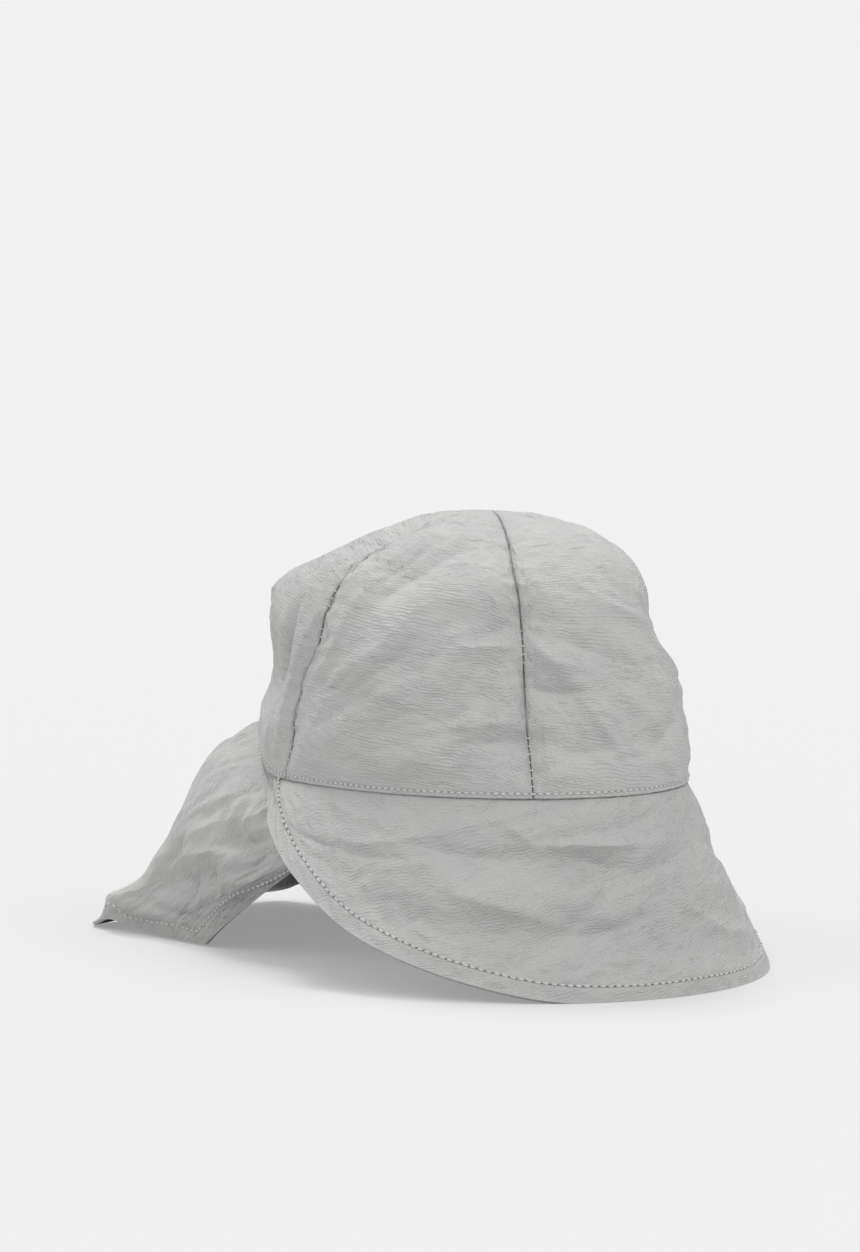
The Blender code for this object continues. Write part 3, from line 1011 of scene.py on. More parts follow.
    def flap_sweep(self, start: Array, hem: Array, turn: Array, across: Array, along: Array) -> Array:
        """Strip of the flap that swings out from the seam and settles at the hem.

        Args:
            start: Points where the strips leave the seam.
            hem: Points where the strips reach the hem.
            turn: Turns of the strips, in degrees.
            across: Places of the strips across the flap.
            along: Shares from the seam to the hem.

        Returns:
            Points, in the frame of the opening.
        """
        side = np.abs(across)
        reach = hem - start
        length = np.linalg.norm(reach, axis=-1, keepdims=True)
        down = np.array([0.0, 0.0, -1.0])
        out_x, out_y = self.opening(turn)[2:]
        leave_out = unit(points(0.3 * out_x, 0.3 * out_y + 0.7, 0.0))
        arrive_out = unit(reach * np.array([1.0, 1.0, 0.0]))
        share = {name: curve_through(FLAP_CURL, name, side)[..., None] for name in CurlRow._fields[2:]}
        leave = length * (leave_out * share["leave_out"] + down * share["leave_down"])
        arrive = length * (arrive_out * share["arrive_out"] + down * share["arrive_down"])
        s = along[..., None]
        r = 1.0 - s
        near_seam = r * r * ((1.0 + 2.0 * s) * start + s * leave)
        near_hem = s * s * ((3.0 - 2.0 * s) * hem - r * arrive)
        return near_seam + near_hem

    def flap_base(self, across: Array, along: Array) -> Array:
        """Flap surface before its folds; along below 0 is the tucked strip.

        Args:
            across: Places across, -1 and 1 at the front corners.
            along: Shares from the seam to the hem.

        Returns:
            Points, in the frame of the opening.
        """
        turn = 180.0 - self.flap_half_turn * across
        tuck = self.tuck_rise * np.clip(-along, 0.0, 1.0)
        clear = smooth_step(np.abs(wrapped(turn)), 123.0, 134.0)
        inset = self.sewing.flap_inset - (self.sewing.flap_inset - self.sewing.open_inset) * clear
        start = self.crown(turn, tuck, inset)
        hang = self.seam_height * curve_through(FLAP_CURL, "hang", np.abs(across))
        start = start - points(0.0, 0.0, hang * (along > -0.5))
        return self.flap_sweep(start, self.flap_hem(across), turn, across, np.clip(along, 0.0, 1.0))

    def flap(self, across: Array, along: Array, push: Array = 0.0) -> Array:
        """Flap surface with its soft folds.

        Args:
            across: Places across, -1 and 1 at the front corners.
            along: Shares from the seam to the hem.
            push: Further push straight out, in metres.

        Returns:
            Points, in the frame of the opening.
        """
        inner = np.clip(along, 0.01, 0.99)
        outward = outward_of(self.flap_base, across, inner, (0.01, 0.01))
        soft = self.folds(FLAP_FOLDS, across, along, self.flap_fold_width, self.flap_fold_length)
        soft = soft * smooth_step(along, 0.04, 0.16) * (1.0 - smooth_step(along, 0.90, 1.0))
        return self.flap_base(across, along) + outward * (soft + push)[..., None]

    def placed(self, places: Array) -> Array:
        """Move points from the frame of the opening to the frame of the solids."""
        return places + np.array([0.0, self.centre_y, 0.0])


def even_grey(level: float) -> tuple[float, float, float, float]:
    """Opaque grey without a tint."""
    return level, level, level, 1.0


def new_node(nodes: Nodes, kind: str, **dials: object) -> Node:
    """Add a shader node and set its sockets.

    Args:
        nodes: Nodes of a material or of the world.
        kind: The node's kind, less its first words.
        dials: Values by the sockets' names, with _ for a space.

    Returns:
        The node.
    """
    node = nodes.new("ShaderNode" + kind)
    for name, value in dials.items():
        node.inputs[name.replace("_", " ")].default_value = value
    return node


@dataclass(frozen=True)
class CrinkledNylon:
    """Matt crinkled nylon. Lengths are in metres, lean is in degrees."""

    name: str
    grey: tuple[float, float, float] = (0.620, 0.618, 0.612)
    lean: float = -12.0
    ripple: float = 0.0012
    ripple_depth: float = 0.00024
    ripple_run: float = 0.0070
    streak_length: float = 0.0030
    streak_width: float = 0.00065
    streak_depth: float = 0.00024
    fibre_size: float = 0.0005
    fibre_depth: float = 0.00011
    sway_size: float = 0.017
    sway: float = 0.0065
    tone_size: float = 0.030
    roughness: float = 0.72
    sheen: float = 0.30
    sheen_roughness: float = 0.45
    gleam: float = 0.25
    crinkle_wander: float = 7.0

    def material(self) -> Material:
        """Build the cloth's material, which reads the piece's own grain.

        Returns:
            A material with its colour, streaks and fibres.
        """
        material = bpy.data.materials.new(self.name)
        material.use_nodes = True
        nodes, links = material.node_tree.nodes, material.node_tree.links
        shader = nodes["Principled BSDF"]
        shader.inputs["Roughness"].default_value = self.roughness
        shader.inputs["Sheen Weight"].default_value = self.sheen
        shader.inputs["Sheen Roughness"].default_value = self.sheen_roughness
        shader.inputs["Specular IOR Level"].default_value = self.gleam
        flat = new_node(nodes, "Attribute")
        flat.attribute_name = "grain"
        grain = self.swayed(nodes, links, flat)
        streaks = self.noise(nodes, links, grain, (1.0 / self.streak_length, 1.0 / self.streak_width), 3.0)
        ripples = self.ripples(nodes, links, grain)
        links.new(self.tone(nodes, links, grain, ripples), shader.inputs["Base Color"])
        fibres = self.noise(nodes, links, grain, (1.0 / self.fibre_size, 1.0 / self.fibre_size), 1.0)
        ripple_bump = self.bump(nodes, links, ripples, self.ripple_depth)
        streak_bump = self.bump(nodes, links, streaks.outputs["Fac"], self.streak_depth)
        links.new(ripple_bump.outputs["Normal"], streak_bump.inputs["Normal"])
        fibre_bump = self.bump(nodes, links, fibres.outputs["Fac"], self.fibre_depth)
        links.new(streak_bump.outputs["Normal"], fibre_bump.inputs["Normal"])
        links.new(fibre_bump.outputs["Normal"], shader.inputs["Normal"])
        return material

    def swayed(self, nodes: Nodes, links: NodeLinks, flat: Node) -> Node:
        """Let the cloth's streaks wander from side to side.

        Args:
            nodes: Nodes of the material.
            links: Links of the material.
            flat: Node that reads the piece's flat places, in metres.

        Returns:
            Node with the moved places.
        """
        wander = new_node(nodes, "TexNoise", Scale=1.0 / self.sway_size, Detail=1.0)
        moved = new_node(nodes, "VectorMath")
        moved.operation = "MULTIPLY_ADD"
        moved.inputs[1].default_value = (self.sway, self.sway, 0.0)
        links.new(flat.outputs["Vector"], wander.inputs["Vector"])
        links.new(wander.outputs["Color"], moved.inputs[0])
        links.new(flat.outputs["Vector"], moved.inputs[2])
        return moved

    def ripples(self, nodes: Nodes, links: NodeLinks, grain: Node) -> NodeSocket:
        """Fine crinkles that run side by side and break up, as heat-set nylon has.

        Args:
            nodes: Nodes of the material.
            links: Links of the material.
            grain: Node that reads the piece's grain, in metres.

        Returns:
            The socket of the crinkles' height.
        """
        turned = new_node(nodes, "Mapping", Rotation=(0.0, 0.0, math.radians(self.lean)))
        turned.vector_type = "TEXTURE"
        wave = new_node(
            nodes,
            "TexWave",
            Scale=WAVE_UNIT * 2.0 * math.pi / self.ripple,
            Distortion=self.crinkle_wander,
            Detail=2.0,
            Detail_Scale=1.3,
            Detail_Roughness=0.6,
        )
        wave.bands_direction = "Y"
        links.new(grain.outputs["Vector"], turned.inputs["Vector"])
        links.new(turned.outputs["Vector"], wave.inputs["Vector"])
        patches = self.noise(nodes, links, grain, (1.0 / self.ripple_run, 2.0 / self.ripple_run), 2.0)
        strength = new_node(nodes, "MapRange", From_Min=0.26, From_Max=0.68)
        links.new(patches.outputs["Fac"], strength.inputs["Value"])
        broken = new_node(nodes, "Math")
        broken.operation = "MULTIPLY"
        links.new(wave.outputs["Fac"], broken.inputs[0])
        links.new(strength.outputs["Result"], broken.inputs[1])
        return broken.outputs["Value"]

    def noise(
        self,
        nodes: Nodes,
        links: NodeLinks,
        grain: Node,
        scale: tuple[float, float],
        detail: float,
    ) -> Node:
        """Noise that is stretched along the cloth's streaks.

        Args:
            nodes: Nodes of the material.
            links: Links of the material.
            grain: Node that reads the piece's grain, in metres.
            scale: Waves for each metre, along the streaks and across them.
            detail: Number of finer waves.

        Returns:
            The noise node.
        """
        spread = (1.0 / scale[0], 1.0 / scale[1], 0.01)
        turned = new_node(nodes, "Mapping", Rotation=(0.0, 0.0, math.radians(self.lean)), Scale=spread)
        turned.vector_type = "TEXTURE"
        noise = new_node(nodes, "TexNoise", Scale=1.0, Detail=detail, Roughness=0.55, Distortion=0.25)
        links.new(grain.outputs["Vector"], turned.inputs["Vector"])
        links.new(turned.outputs["Vector"], noise.inputs["Vector"])
        return noise

    def bump(self, nodes: Nodes, links: NodeLinks, height: NodeSocket, depth: float) -> Node:
        """Bump that follows a height.

        Args:
            nodes: Nodes of the material.
            links: Links of the material.
            height: Socket of the height.
            depth: Depth of the bump, in metres.

        Returns:
            The bump node.
        """
        bump = new_node(nodes, "Bump", Strength=1.0, Distance=depth)
        links.new(height, bump.inputs["Height"])
        return bump

    def tone(self, nodes: Nodes, links: NodeLinks, grain: Node, ripples: NodeSocket) -> NodeSocket:
        """Colour that wanders between a warmer and a cooler grey, with painted shade between the crinkles and
        painted light on their crests.

        Args:
            nodes: Nodes of the material.
            links: Links of the material.
            grain: Node that reads the piece's grain, in metres.
            ripples: Socket of the crinkles' height.

        Returns:
            The colour's socket.
        """
        patches = self.noise(nodes, links, grain, (1.0 / self.tone_size, 1.0 / self.tone_size), 2.0)
        ramp = new_node(nodes, "ValToRGB")
        red, green, blue = self.grey
        ramp.color_ramp.elements[0].position = 0.30
        ramp.color_ramp.elements[0].color = (0.970 * red, 0.975 * green, 0.990 * blue, 1.0)
        ramp.color_ramp.elements[1].position = 0.70
        ramp.color_ramp.elements[1].color = (1.030 * red, 1.027 * green, 1.000 * blue, 1.0)
        links.new(patches.outputs["Fac"], ramp.inputs["Fac"])
        # The crinkles' height scales the colour: painted shade in their hollows, painted light on their
        # crests.
        shade = new_node(nodes, "MapRange", From_Min=0.0, From_Max=1.0, To_Min=0.975, To_Max=1.020)
        links.new(ripples, shade.inputs["Value"])
        painted_crinkle_shade = new_node(nodes, "VectorMath")
        painted_crinkle_shade.operation = "SCALE"
        links.new(ramp.outputs["Color"], painted_crinkle_shade.inputs[0])
        links.new(shade.outputs["Result"], painted_crinkle_shade.inputs["Scale"])
        return painted_crinkle_shade.outputs["Vector"]


@dataclass(frozen=True)
class PlainFinish:
    """Finish of thread, and of the dark beads that paint the shade inside needle holes: one colour with
    lighter and darker places.
    """

    name: str
    colour: tuple[float, float, float]
    roughness: float
    ply: float = 0.0
    patches: float = 160.0
    tones: tuple[float, float] = (0.90, 1.06)

    def material(self) -> Material:
        """Build the finish, with a twisted ply where it has one.

        Returns:
            The material.
        """
        material = bpy.data.materials.new(self.name)
        material.use_nodes = True
        nodes, links = material.node_tree.nodes, material.node_tree.links
        shader = nodes["Principled BSDF"]
        shader.inputs["Roughness"].default_value = self.roughness
        place, patches = new_node(nodes, "TexCoord"), new_node(nodes, "TexNoise", Scale=self.patches)
        ramp = new_node(nodes, "ValToRGB")
        for element, share in zip(ramp.color_ramp.elements, self.tones):
            element.color = (*(share * part for part in self.colour), 1.0)
        links.new(place.outputs["Object"], patches.inputs["Vector"])
        links.new(patches.outputs["Fac"], ramp.inputs["Fac"])
        links.new(ramp.outputs["Color"], shader.inputs["Base Color"])
        if self.ply > 0.0:
            wave = new_node(nodes, "TexWave", Scale=1.0 / self.ply)
            wave.bands_direction = "DIAGONAL"
            bump = new_node(nodes, "Bump", Distance=self.ply * 0.2)
            links.new(place.outputs["Object"], wave.inputs["Vector"])
            links.new(wave.outputs["Fac"], bump.inputs["Height"])
            links.new(bump.outputs["Normal"], shader.inputs["Normal"])
        return material


@dataclass
class SewnPiece:
    """One cut of cloth that is laid over a surface and given its thickness."""

    name: str
    stands_for: str
    slot: str
    cells: tuple[int, int]
    surface: Surface
    grain: Surface
    thickness: Surface
    edge_round: float = 0.00018
    edge_angle: float = 50.0

    def build(self, material: Material) -> Object:
        """Build the piece and hand it to the frame.

        Args:
            material: Finish of the cloth.

        Returns:
            The piece, riding on the cap and shown in place of its solid.
        """
        piece = self.lay()
        self.thicken(piece)
        self.settle(piece)
        piece.data.materials.clear()
        piece.data.materials.append(material)
        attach(piece, "root")
        if self.stands_for:
            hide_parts(self.stands_for)
        faces = sum(len(face.vertices) - 2 for face in piece.data.polygons)
        log.info("%s: %d triangles, for solid %s", self.name, faces, self.stands_for or "none")
        return piece

    def lay(self) -> Object:
        """Lay a flat grid over the surface, with its grain and thickness kept.

        Returns:
            The piece as a sheet without a wall.
        """
        flat = bmesh.new()
        bmesh.ops.create_grid(flat, x_segments=self.cells[0], y_segments=self.cells[1], size=0.5)
        mesh = bpy.data.meshes.new(self.name)
        flat.to_mesh(mesh)
        flat.free()
        corners = np.zeros(len(mesh.vertices) * 3)
        mesh.vertices.foreach_get("co", corners)
        shares = corners.reshape(-1, 3)[:, :2] + 0.5
        across, up = shares[:, 0], shares[:, 1]
        places = self.surface(across, up)
        places[:, 2] = np.maximum(places[:, 2], SHEET_CLEARANCE)
        mesh.vertices.foreach_set("co", places.ravel())
        grain = mesh.attributes.new("grain", "FLOAT_VECTOR", "POINT")
        grain.data.foreach_set("vector", self.grain(across, up).ravel())
        piece = bpy.data.objects.new(self.name, mesh)
        bpy.context.scene.collection.objects.link(piece)
        walls = self.thickness(across, up)
        group = piece.vertex_groups.new(name="thickness")
        levels = np.round(walls / walls.max(), 2)
        for level in np.unique(levels):
            group.add(np.flatnonzero(levels == level).tolist(), float(level), "REPLACE")
        piece["wall"] = float(walls.max())
        return piece

    def thicken(self, piece: Object) -> None:
        """Give the sheet its wall inwards and round its cut edges.

        Args:
            piece: The laid sheet.
        """
        wall = piece.modifiers.new("cloth", "SOLIDIFY")
        wall.thickness = piece["wall"]
        wall.offset = -1.0
        wall.vertex_group = "thickness"
        edge = piece.modifiers.new("edge", "BEVEL")
        edge.limit_method = "ANGLE"
        edge.angle_limit = math.radians(self.edge_angle)
        edge.width = self.edge_round
        edge.segments = 2

    def settle(self, piece: Object) -> None:
        """Fix the modifiers into the mesh and keep it above the floor.

        Args:
            piece: The piece with its modifiers.
        """
        graph = bpy.context.evaluated_depsgraph_get()
        mesh = bpy.data.meshes.new_from_object(piece.evaluated_get(graph))
        piece.modifiers.clear()
        piece.data = mesh
        corners = np.zeros(len(mesh.vertices) * 3)
        mesh.vertices.foreach_get("co", corners)
        corners = corners.reshape(-1, 3)
        corners[:, 2] = np.maximum(corners[:, 2], FLOOR_CLEARANCE)
        mesh.vertices.foreach_set("co", corners.ravel())
        mesh.polygons.foreach_set("use_smooth", np.ones(len(mesh.polygons), bool))
        mesh.update()


@dataclass
class StitchRow:
    """A row of stitches along a line on the cloth. Lengths are in metres."""

    pitch: float = 0.0030
    length: float = 0.0020
    radius: float = 0.00026
    lift: float = 0.00006
    reach: float = 0.0004

    def spots(self, line: Array, outward: Array) -> tuple[Array, ...]:
        """Place the stitches evenly along a line.

        Args:
            line: Points of the line.
            outward: Direction straight out of the cloth at each point.

        Returns:
            Middle, direction and outward direction of each stitch.
        """
        steps = np.linalg.norm(np.diff(line, axis=0), axis=1)
        run = np.concatenate([[0.0], np.cumsum(steps)])
        at = np.arange(self.pitch / 2.0, run[-1], self.pitch)
        middle = np.stack([np.interp(at, run, line[:, k]) for k in range(3)], axis=-1)
        ahead = np.stack([np.interp(at + self.reach, run, line[:, k]) for k in range(3)], axis=-1)
        behind = np.stack([np.interp(at - self.reach, run, line[:, k]) for k in range(3)], axis=-1)
        out = unit(np.stack([np.interp(at, run, outward[:, k]) for k in range(3)], axis=-1))
        return middle, unit(ahead - behind), out

    def sew(
        self, name: str, material: Material, spots: tuple[Array, ...], half: Sequence[float], shift: float
    ) -> Object:
        """Build one row of beads as a piece of its own.

        Args:
            name: Name of the piece.
            material: Its finish.
            spots: Middle, direction and outward direction of each bead.
            half: Half sizes of a bead along, across and out.
            shift: Move along the row, in metres.

        Returns:
            The piece.
        """
        thread = Thread(name, material)
        thread.add(*self.beads(spots, half, shift))
        return thread.build()

    @staticmethod
    def ordered(faces: Array) -> Array:
        """Put triangles in one fixed order, each from its lowest corner on.

        Args:
            faces: Corner numbers of the triangles.

        Returns:
            The same triangles, facing the same way.
        """
        first = faces.argmin(axis=1)[:, None]
        turned = np.take_along_axis(faces, (first + np.arange(3)) % 3, axis=1)
        return turned[np.lexsort(turned.T[::-1])]

    @property
    def half(self) -> tuple[float, float, float]:
        """Half sizes of a stitch along, across and out."""
        return self.length / 2.0, self.radius, self.radius

    def beads(self, spots: tuple[Array, ...], half: Sequence[float], shift: float) -> tuple[Array, Array]:
        """Lay one rounded bead at each spot.

        Args:
            spots: Middle, direction and outward direction of each bead.
            half: Half sizes of a bead along, across and out.
            shift: Move along the row, in metres.

        Returns:
            Corners and faces of all the beads.
        """
        ball = bmesh.new()
        bmesh.ops.create_uvsphere(ball, u_segments=8, v_segments=6, radius=1.0)
        bmesh.ops.triangulate(ball, faces=ball.faces[:])
        corners = np.array([vertex.co for vertex in ball.verts])
        faces = self.ordered(np.array([[vertex.index for vertex in face.verts] for face in ball.faces]))
        ball.free()
        middle, along, out = spots
        side = unit(np.cross(out, along))
        out = np.cross(along, side)
        local = (
            corners[None, :, 2:3] * half[0] * along[:, None]
            + corners[None, :, 0:1] * half[1] * side[:, None]
            + corners[None, :, 1:2] * half[2] * out[:, None]
        )
        places = local + (middle + along * shift + out * self.lift)[:, None]
        count = len(middle)
        offsets = (np.arange(count) * len(corners))[:, None, None]
        return places.reshape(-1, 3), (faces[None] + offsets).reshape(-1, 3)


@dataclass
class Thread:
    """All the stitches of one sub-assembly, gathered into one mesh."""

    name: str
    material: Material

    def __post_init__(self) -> None:
        """Start with no stitches."""
        self.corners: list[Array] = []
        self.faces: list[Array] = []
        self.count = 0

    def add(self, corners: Array, faces: Array) -> None:
        """Take in more stitches.

        Args:
            corners: Corners of the stitches.
            faces: Their faces, as numbers of these corners.
        """
        self.corners.append(corners)
        self.faces.append(faces + self.count)
        self.count += len(corners)

    def build(self) -> Object:
        """Build the mesh of the stitches and hand it to the frame.

        Returns:
            The stitches, riding on the cap.
        """
        corners, faces = np.concatenate(self.corners), np.concatenate(self.faces)
        corners[:, 2] = np.maximum(corners[:, 2], FLOOR_CLEARANCE)
        mesh = bpy.data.meshes.new(self.name)
        mesh.from_pydata(corners.tolist(), [], faces.tolist())
        mesh.polygons.foreach_set("use_smooth", np.ones(len(mesh.polygons), bool))
        mesh.materials.append(self.material)
        piece = bpy.data.objects.new(self.name, mesh)
        bpy.context.scene.collection.objects.link(piece)
        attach(piece, "root")
        log.info("%s: %d triangles", self.name, len(faces))
        return piece


@dataclass
class Crown:
    """The five wedge panels that make the crown, and their seams."""

    pattern: CapPattern
    nylon: Material
    thread: Material
    painted_hole_shade: Material
    seen_cells: tuple[int, int] = (148, 192)
    cells: tuple[int, int] = (138, 124)
    cut_leans: tuple[float, ...] = (-38.0, -30.0, 58.0, 66.0, 48.0)
    broad_crumple: CrumpleRow = CrumpleRow(0.00125, 0.044, 0.020, 0.0)
    sharp_crumple: CrumpleRow = CrumpleRow(0.00090, 0.034, 0.014, 6.0)
    small_crumple: CrumpleRow = CrumpleRow(0.00036, 0.016, 0.0075, -22.0)
    fine_crumple: CrumpleRow = CrumpleRow(0.00022, 0.0060, 0.0028, -12.0)
    smooth_turn: float = -122.0
    smooth_spread: float = 22.0
    smooth_share: float = 0.72
    pucker_height: float = 0.00140
    pucker_pitch: float = 0.0046
    pucker_length: float = 0.022
    pucker_reach: float = 0.0060
    seam_spacing: float = 0.09
    ruffle_height: float = 0.00050
    back_ruffle_height: float = 0.0011
    ruffle_pitch: float = 0.0050
    ruffle_length: float = 0.030
    ruffle_reach: float = 0.010
    groove_depth: float = 0.00022
    groove_width: float = 0.0005
    narrowest: float = 0.002
    allowance_cells: tuple[int, int] = (8, 90)
    allowance_width: float = 0.0045
    allowance_inset: float = 0.00105
    panel_names: tuple[str, ...] = (
        "front_panel",
        "left_side_panel",
        "left_back_panel",
        "right_back_panel",
        "right_side_panel",
    )
    solid_names: tuple[str, ...] = (
        "crown_front",
        "crown_side_left",
        "crown_back_left",
        "crown_back_right",
        "crown_side_right",
    )

    def __post_init__(self) -> None:
        """Draw the noises of the crown's cloth."""
        self.broad = ClothNoise(11)
        self.fine = ClothNoise(12)
        self.pucker = ClothNoise(13)
        self.pleat = ClothNoise(14)

    def flat(self, turn: Array, rise: Array) -> tuple[Array, Array]:
        """Places on the flat cloth, in metres around and up."""
        radius = np.maximum(curve_through(CROWN_PROFILE, "radius", rise), 0.12)
        return np.radians(turn) * self.pattern.mean_radius * radius, rise * self.pattern.climb

    def relief(self, turn: Array, rise: Array) -> Array:
        """Small creases, puckers and gathers of the crown.

        Args:
            turn: Turns in degrees.
            rise: Rises, as shares.

        Returns:
            The push outward at each place, in metres.
        """
        pattern = self.pattern
        up = rise * pattern.climb
        level = wrapped(turn)
        straight = np.radians(level) * pattern.mean_radius
        seam = pattern.from_seam(turn, rise)
        folded = pattern.creases(CROWN_CREASES, turn, rise, pattern.crown_degree(rise), pattern.climb, -1.0)
        folded = folded * (0.60 + 0.40 * smooth_step(seam, 0.0005, 0.005))
        push = self.crumpled(turn, rise, straight, up)
        push = folded + push * (0.20 + 0.80 * smooth_step(seam, 0.0005, 0.009))
        nearest = np.round(straight / self.seam_spacing) * 3.7
        gather = self.pucker.at(up / self.pucker_pitch, nearest + seam / self.pucker_length)
        drawn_in = np.exp(-seam / self.pucker_reach) * smooth_step(seam, 0.0, 0.0010)
        push = push + self.pucker_height * gather * drawn_in
        ruffle = self.pucker.at(straight / self.ruffle_pitch, up / self.ruffle_length + 9.0)
        drawn = self.ruffle_height + self.back_ruffle_height * smooth_step(np.abs(level), 128.0, 150.0)
        fade = np.exp(-np.maximum(up - 0.003, 0.0) / self.ruffle_reach)
        push = push + drawn * ruffle * fade * smooth_step(up, 0.0022, 0.006)
        calm = smooth_step(rise, 0.012, 0.085) * (1.0 - smooth_step(rise, 0.86, 0.97))
        from_row = (up - pattern.sewing.edge_stitch_height) / self.groove_width
        return push * calm - self.groove_depth * np.exp(-(from_row**2))

    def crumpled(self, turn: Array, rise: Array, straight: Array, up: Array) -> Array:
        """Even crumple of the crown, least on the smooth part of the right side.

        Args:
            turn: Turns in degrees.
            rise: Rises, as shares.
            straight: Places around, in metres at the opening.
            up: Places up the cloth, in metres.

        Returns:
            The push outward at each place, in metres.
        """
        pattern = self.pattern
        panel = np.floor((pattern.evened(turn, rise) / pattern.panel_step + 0.5) % pattern.panel_count)
        bias = np.array(self.cut_leans)[panel.astype(int) % pattern.panel_count]
        away = (wrapped(turn) - self.smooth_turn) / self.smooth_spread
        plain = 1.0 - self.smooth_share * np.exp(-(away**2))
        deep = plain * (1.4 - 0.7 * smooth_step(rise, 0.25, 0.65))
        sharp = plain * (1.4 - 1.0 * smooth_step(rise, 0.25, 0.60))
        broad, pleat = self.broad_crumple, self.sharp_crumple
        small, fine = self.small_crumple, self.fine_crumple
        push = broad.height * deep * self.broad.crumple(straight, up, broad, bias)
        push = push + pleat.height * sharp * self.pleat.pinched(straight, up, pleat, bias)
        push = push + small.height * sharp * self.pleat.pinched(straight + 0.3, up, small, bias)
        return push + fine.height * self.fine.crumple(straight, up, fine)

    def surface(self, turn: Array, rise: Array, inset: Array) -> Array:
        """Outer surface of the crown with all of its relief."""
        return self.pattern.placed(self.pattern.crown(turn, rise, inset - self.relief(turn, rise)))

    def rise_of(self, up: Array) -> Array:
        """Rise at shares of a panel's grid rows."""
        return np.minimum(spread_lines(CROWN_ROWS, up) / self.pattern.climb, self.pattern.tip_rise)

    def panel(self, index: int, across: Array, up: Array) -> Array:
        """One panel, with edges that roll in at its seams and at its lower fold.

        Args:
            index: Number of the panel, counted from the front to the cap's left.
            across: Shares of the panel's width.
            up: Shares of the panel's grid rows.

        Returns:
            Points of the panel's outer surface.
        """
        pattern = self.pattern
        rise = self.rise_of(up)
        radius = pattern.mean_radius * curve_through(CROWN_PROFILE, "radius", rise)
        before = (index - 1) % pattern.panel_count
        low_gape, high_gape = self.gape(before, rise), self.gape(index, rise)
        low_seam = pattern.seam_turn(before, rise) - (0.0 if index else 360.0)
        wide = np.maximum(radius, self.narrowest)
        low_edge = low_seam + np.degrees(low_gape / wide)
        high_edge = pattern.seam_turn(index, rise) - np.degrees(high_gape / wide)
        share = across - PANEL_COLUMNS_BUNCH * np.sin(2.0 * math.pi * across) / (2.0 * math.pi)
        turn = low_edge + (high_edge - low_edge) * share
        edge = np.minimum(share, 1.0 - share) * np.radians(high_edge - low_edge) * radius
        roll = np.minimum(pattern.sewing.edge_roll, 0.10 * radius)
        lower = rise * pattern.climb
        inset = self.rolled(edge, roll) + self.rolled(lower, pattern.sewing.edge_roll * 0.8)
        return self.surface(turn, rise, inset)

    @staticmethod
    def gape(seam: int, rise: Array) -> Array:
        """Half of the opening of a seam, in metres.

        Args:
            seam: Number of the seam: 4 at the centre of the photographed side, 3 at the cap's right.
            rise: Rises along the seam.

        Returns:
            Half openings.
        """
        column = WANDERING_SEAMS.get(seam, "others")
        return 0.5 / MILLIMETRES * curve_through(SEAM_GAPE, column, rise)

    @staticmethod
    def rolled(distance: Array, roll: Array) -> Array:
        """Depth by which a rounded edge turns in at a distance from it."""
        share = np.clip(1.0 - distance / roll, 0.0, 1.0)
        return roll * (1.0 - np.sqrt(np.maximum(1.0 - share * share, 0.0)))

    def panel_grain(self, index: int, across: Array, up: Array) -> Array:
        """Flat place of each point of a panel, with its own offset.

        Args:
            index: Number of the panel.
            across: Shares of the panel's width.
            up: Shares of the panel's grid rows.

        Returns:
            Points on the flat cloth, in metres.
        """
        rise = self.rise_of(up)
        turn = index * self.pattern.panel_step + (across - 0.5) * self.pattern.panel_step
        around, height = self.flat(wrapped(turn), rise)
        return points(around, height, 0.0137 * index)

    def wall(self, across: Array, up: Array) -> Array:
        """Cloth thickness, doubled along the folded lower edge.

        Args:
            across: Shares of the panel's width.
            up: Shares of the panel's grid rows.

        Returns:
            Thicknesses, in metres.
        """
        height = self.rise_of(up) * self.pattern.climb
        sewing = self.pattern.sewing
        return sewing.cloth + (sewing.folded_edge - sewing.cloth) * (1.0 - smooth_step(height, 0.004, 0.006))

    def build_panels(self) -> None:
        """Build the five panels, from the front round by the cap's left."""
        for index, name in enumerate(self.panel_names):
            piece = SewnPiece(
                name,
                self.solid_names[index],
                "crown_nylon",
                self.seen_cells if index in (0, 4) else self.cells,
                partial(self.panel, index),
                partial(self.panel_grain, index),
                self.wall,
            )
            piece.build(self.nylon)

    def build_allowances(self) -> None:
        """Press the seam allowance of each panel seam flat behind the seam."""
        for index in range(self.pattern.panel_count):
            piece = SewnPiece(
                "seam_allowance_%d" % (index + 1),
                "",
                "crown_nylon",
                self.allowance_cells,
                partial(self.allowance, index),
                partial(self.panel_grain, index),
                self.allowance_wall,
            )
            piece.build(self.nylon)

    def allowance_wall(self, across: Array, up: Array) -> Array:
        """Thickness of the seam allowances, the same all over."""
        return np.full(across.shape, self.pattern.sewing.cloth)

    def allowance(self, seam: int, across: Array, up: Array) -> Array:
        """Strip of doubled cloth behind a panel seam.

        Args:
            seam: Number of the seam.
            across: Shares of the strip's width.
            up: Shares of the strip's length.

        Returns:
            Points of the strip's outer side.
        """
        rise = 0.045 + up * 0.90
        radius = self.pattern.mean_radius * curve_through(CROWN_PROFILE, "radius", rise)
        half = np.minimum(self.allowance_width, 0.3 * radius)
        turns = self.pattern.seam_turn(seam, rise) + np.degrees((2.0 * across - 1.0) * half / radius)
        return self.surface(turns, rise, np.full(rise.shape, self.allowance_inset))

    def line(self, turn: Array, rise: Array) -> tuple[Array, Array]:
        """A line on the crown and its outward directions."""
        return self.surface(turn, rise, np.zeros(np.shape(turn))), self.pattern.crown_outward(turn, rise)

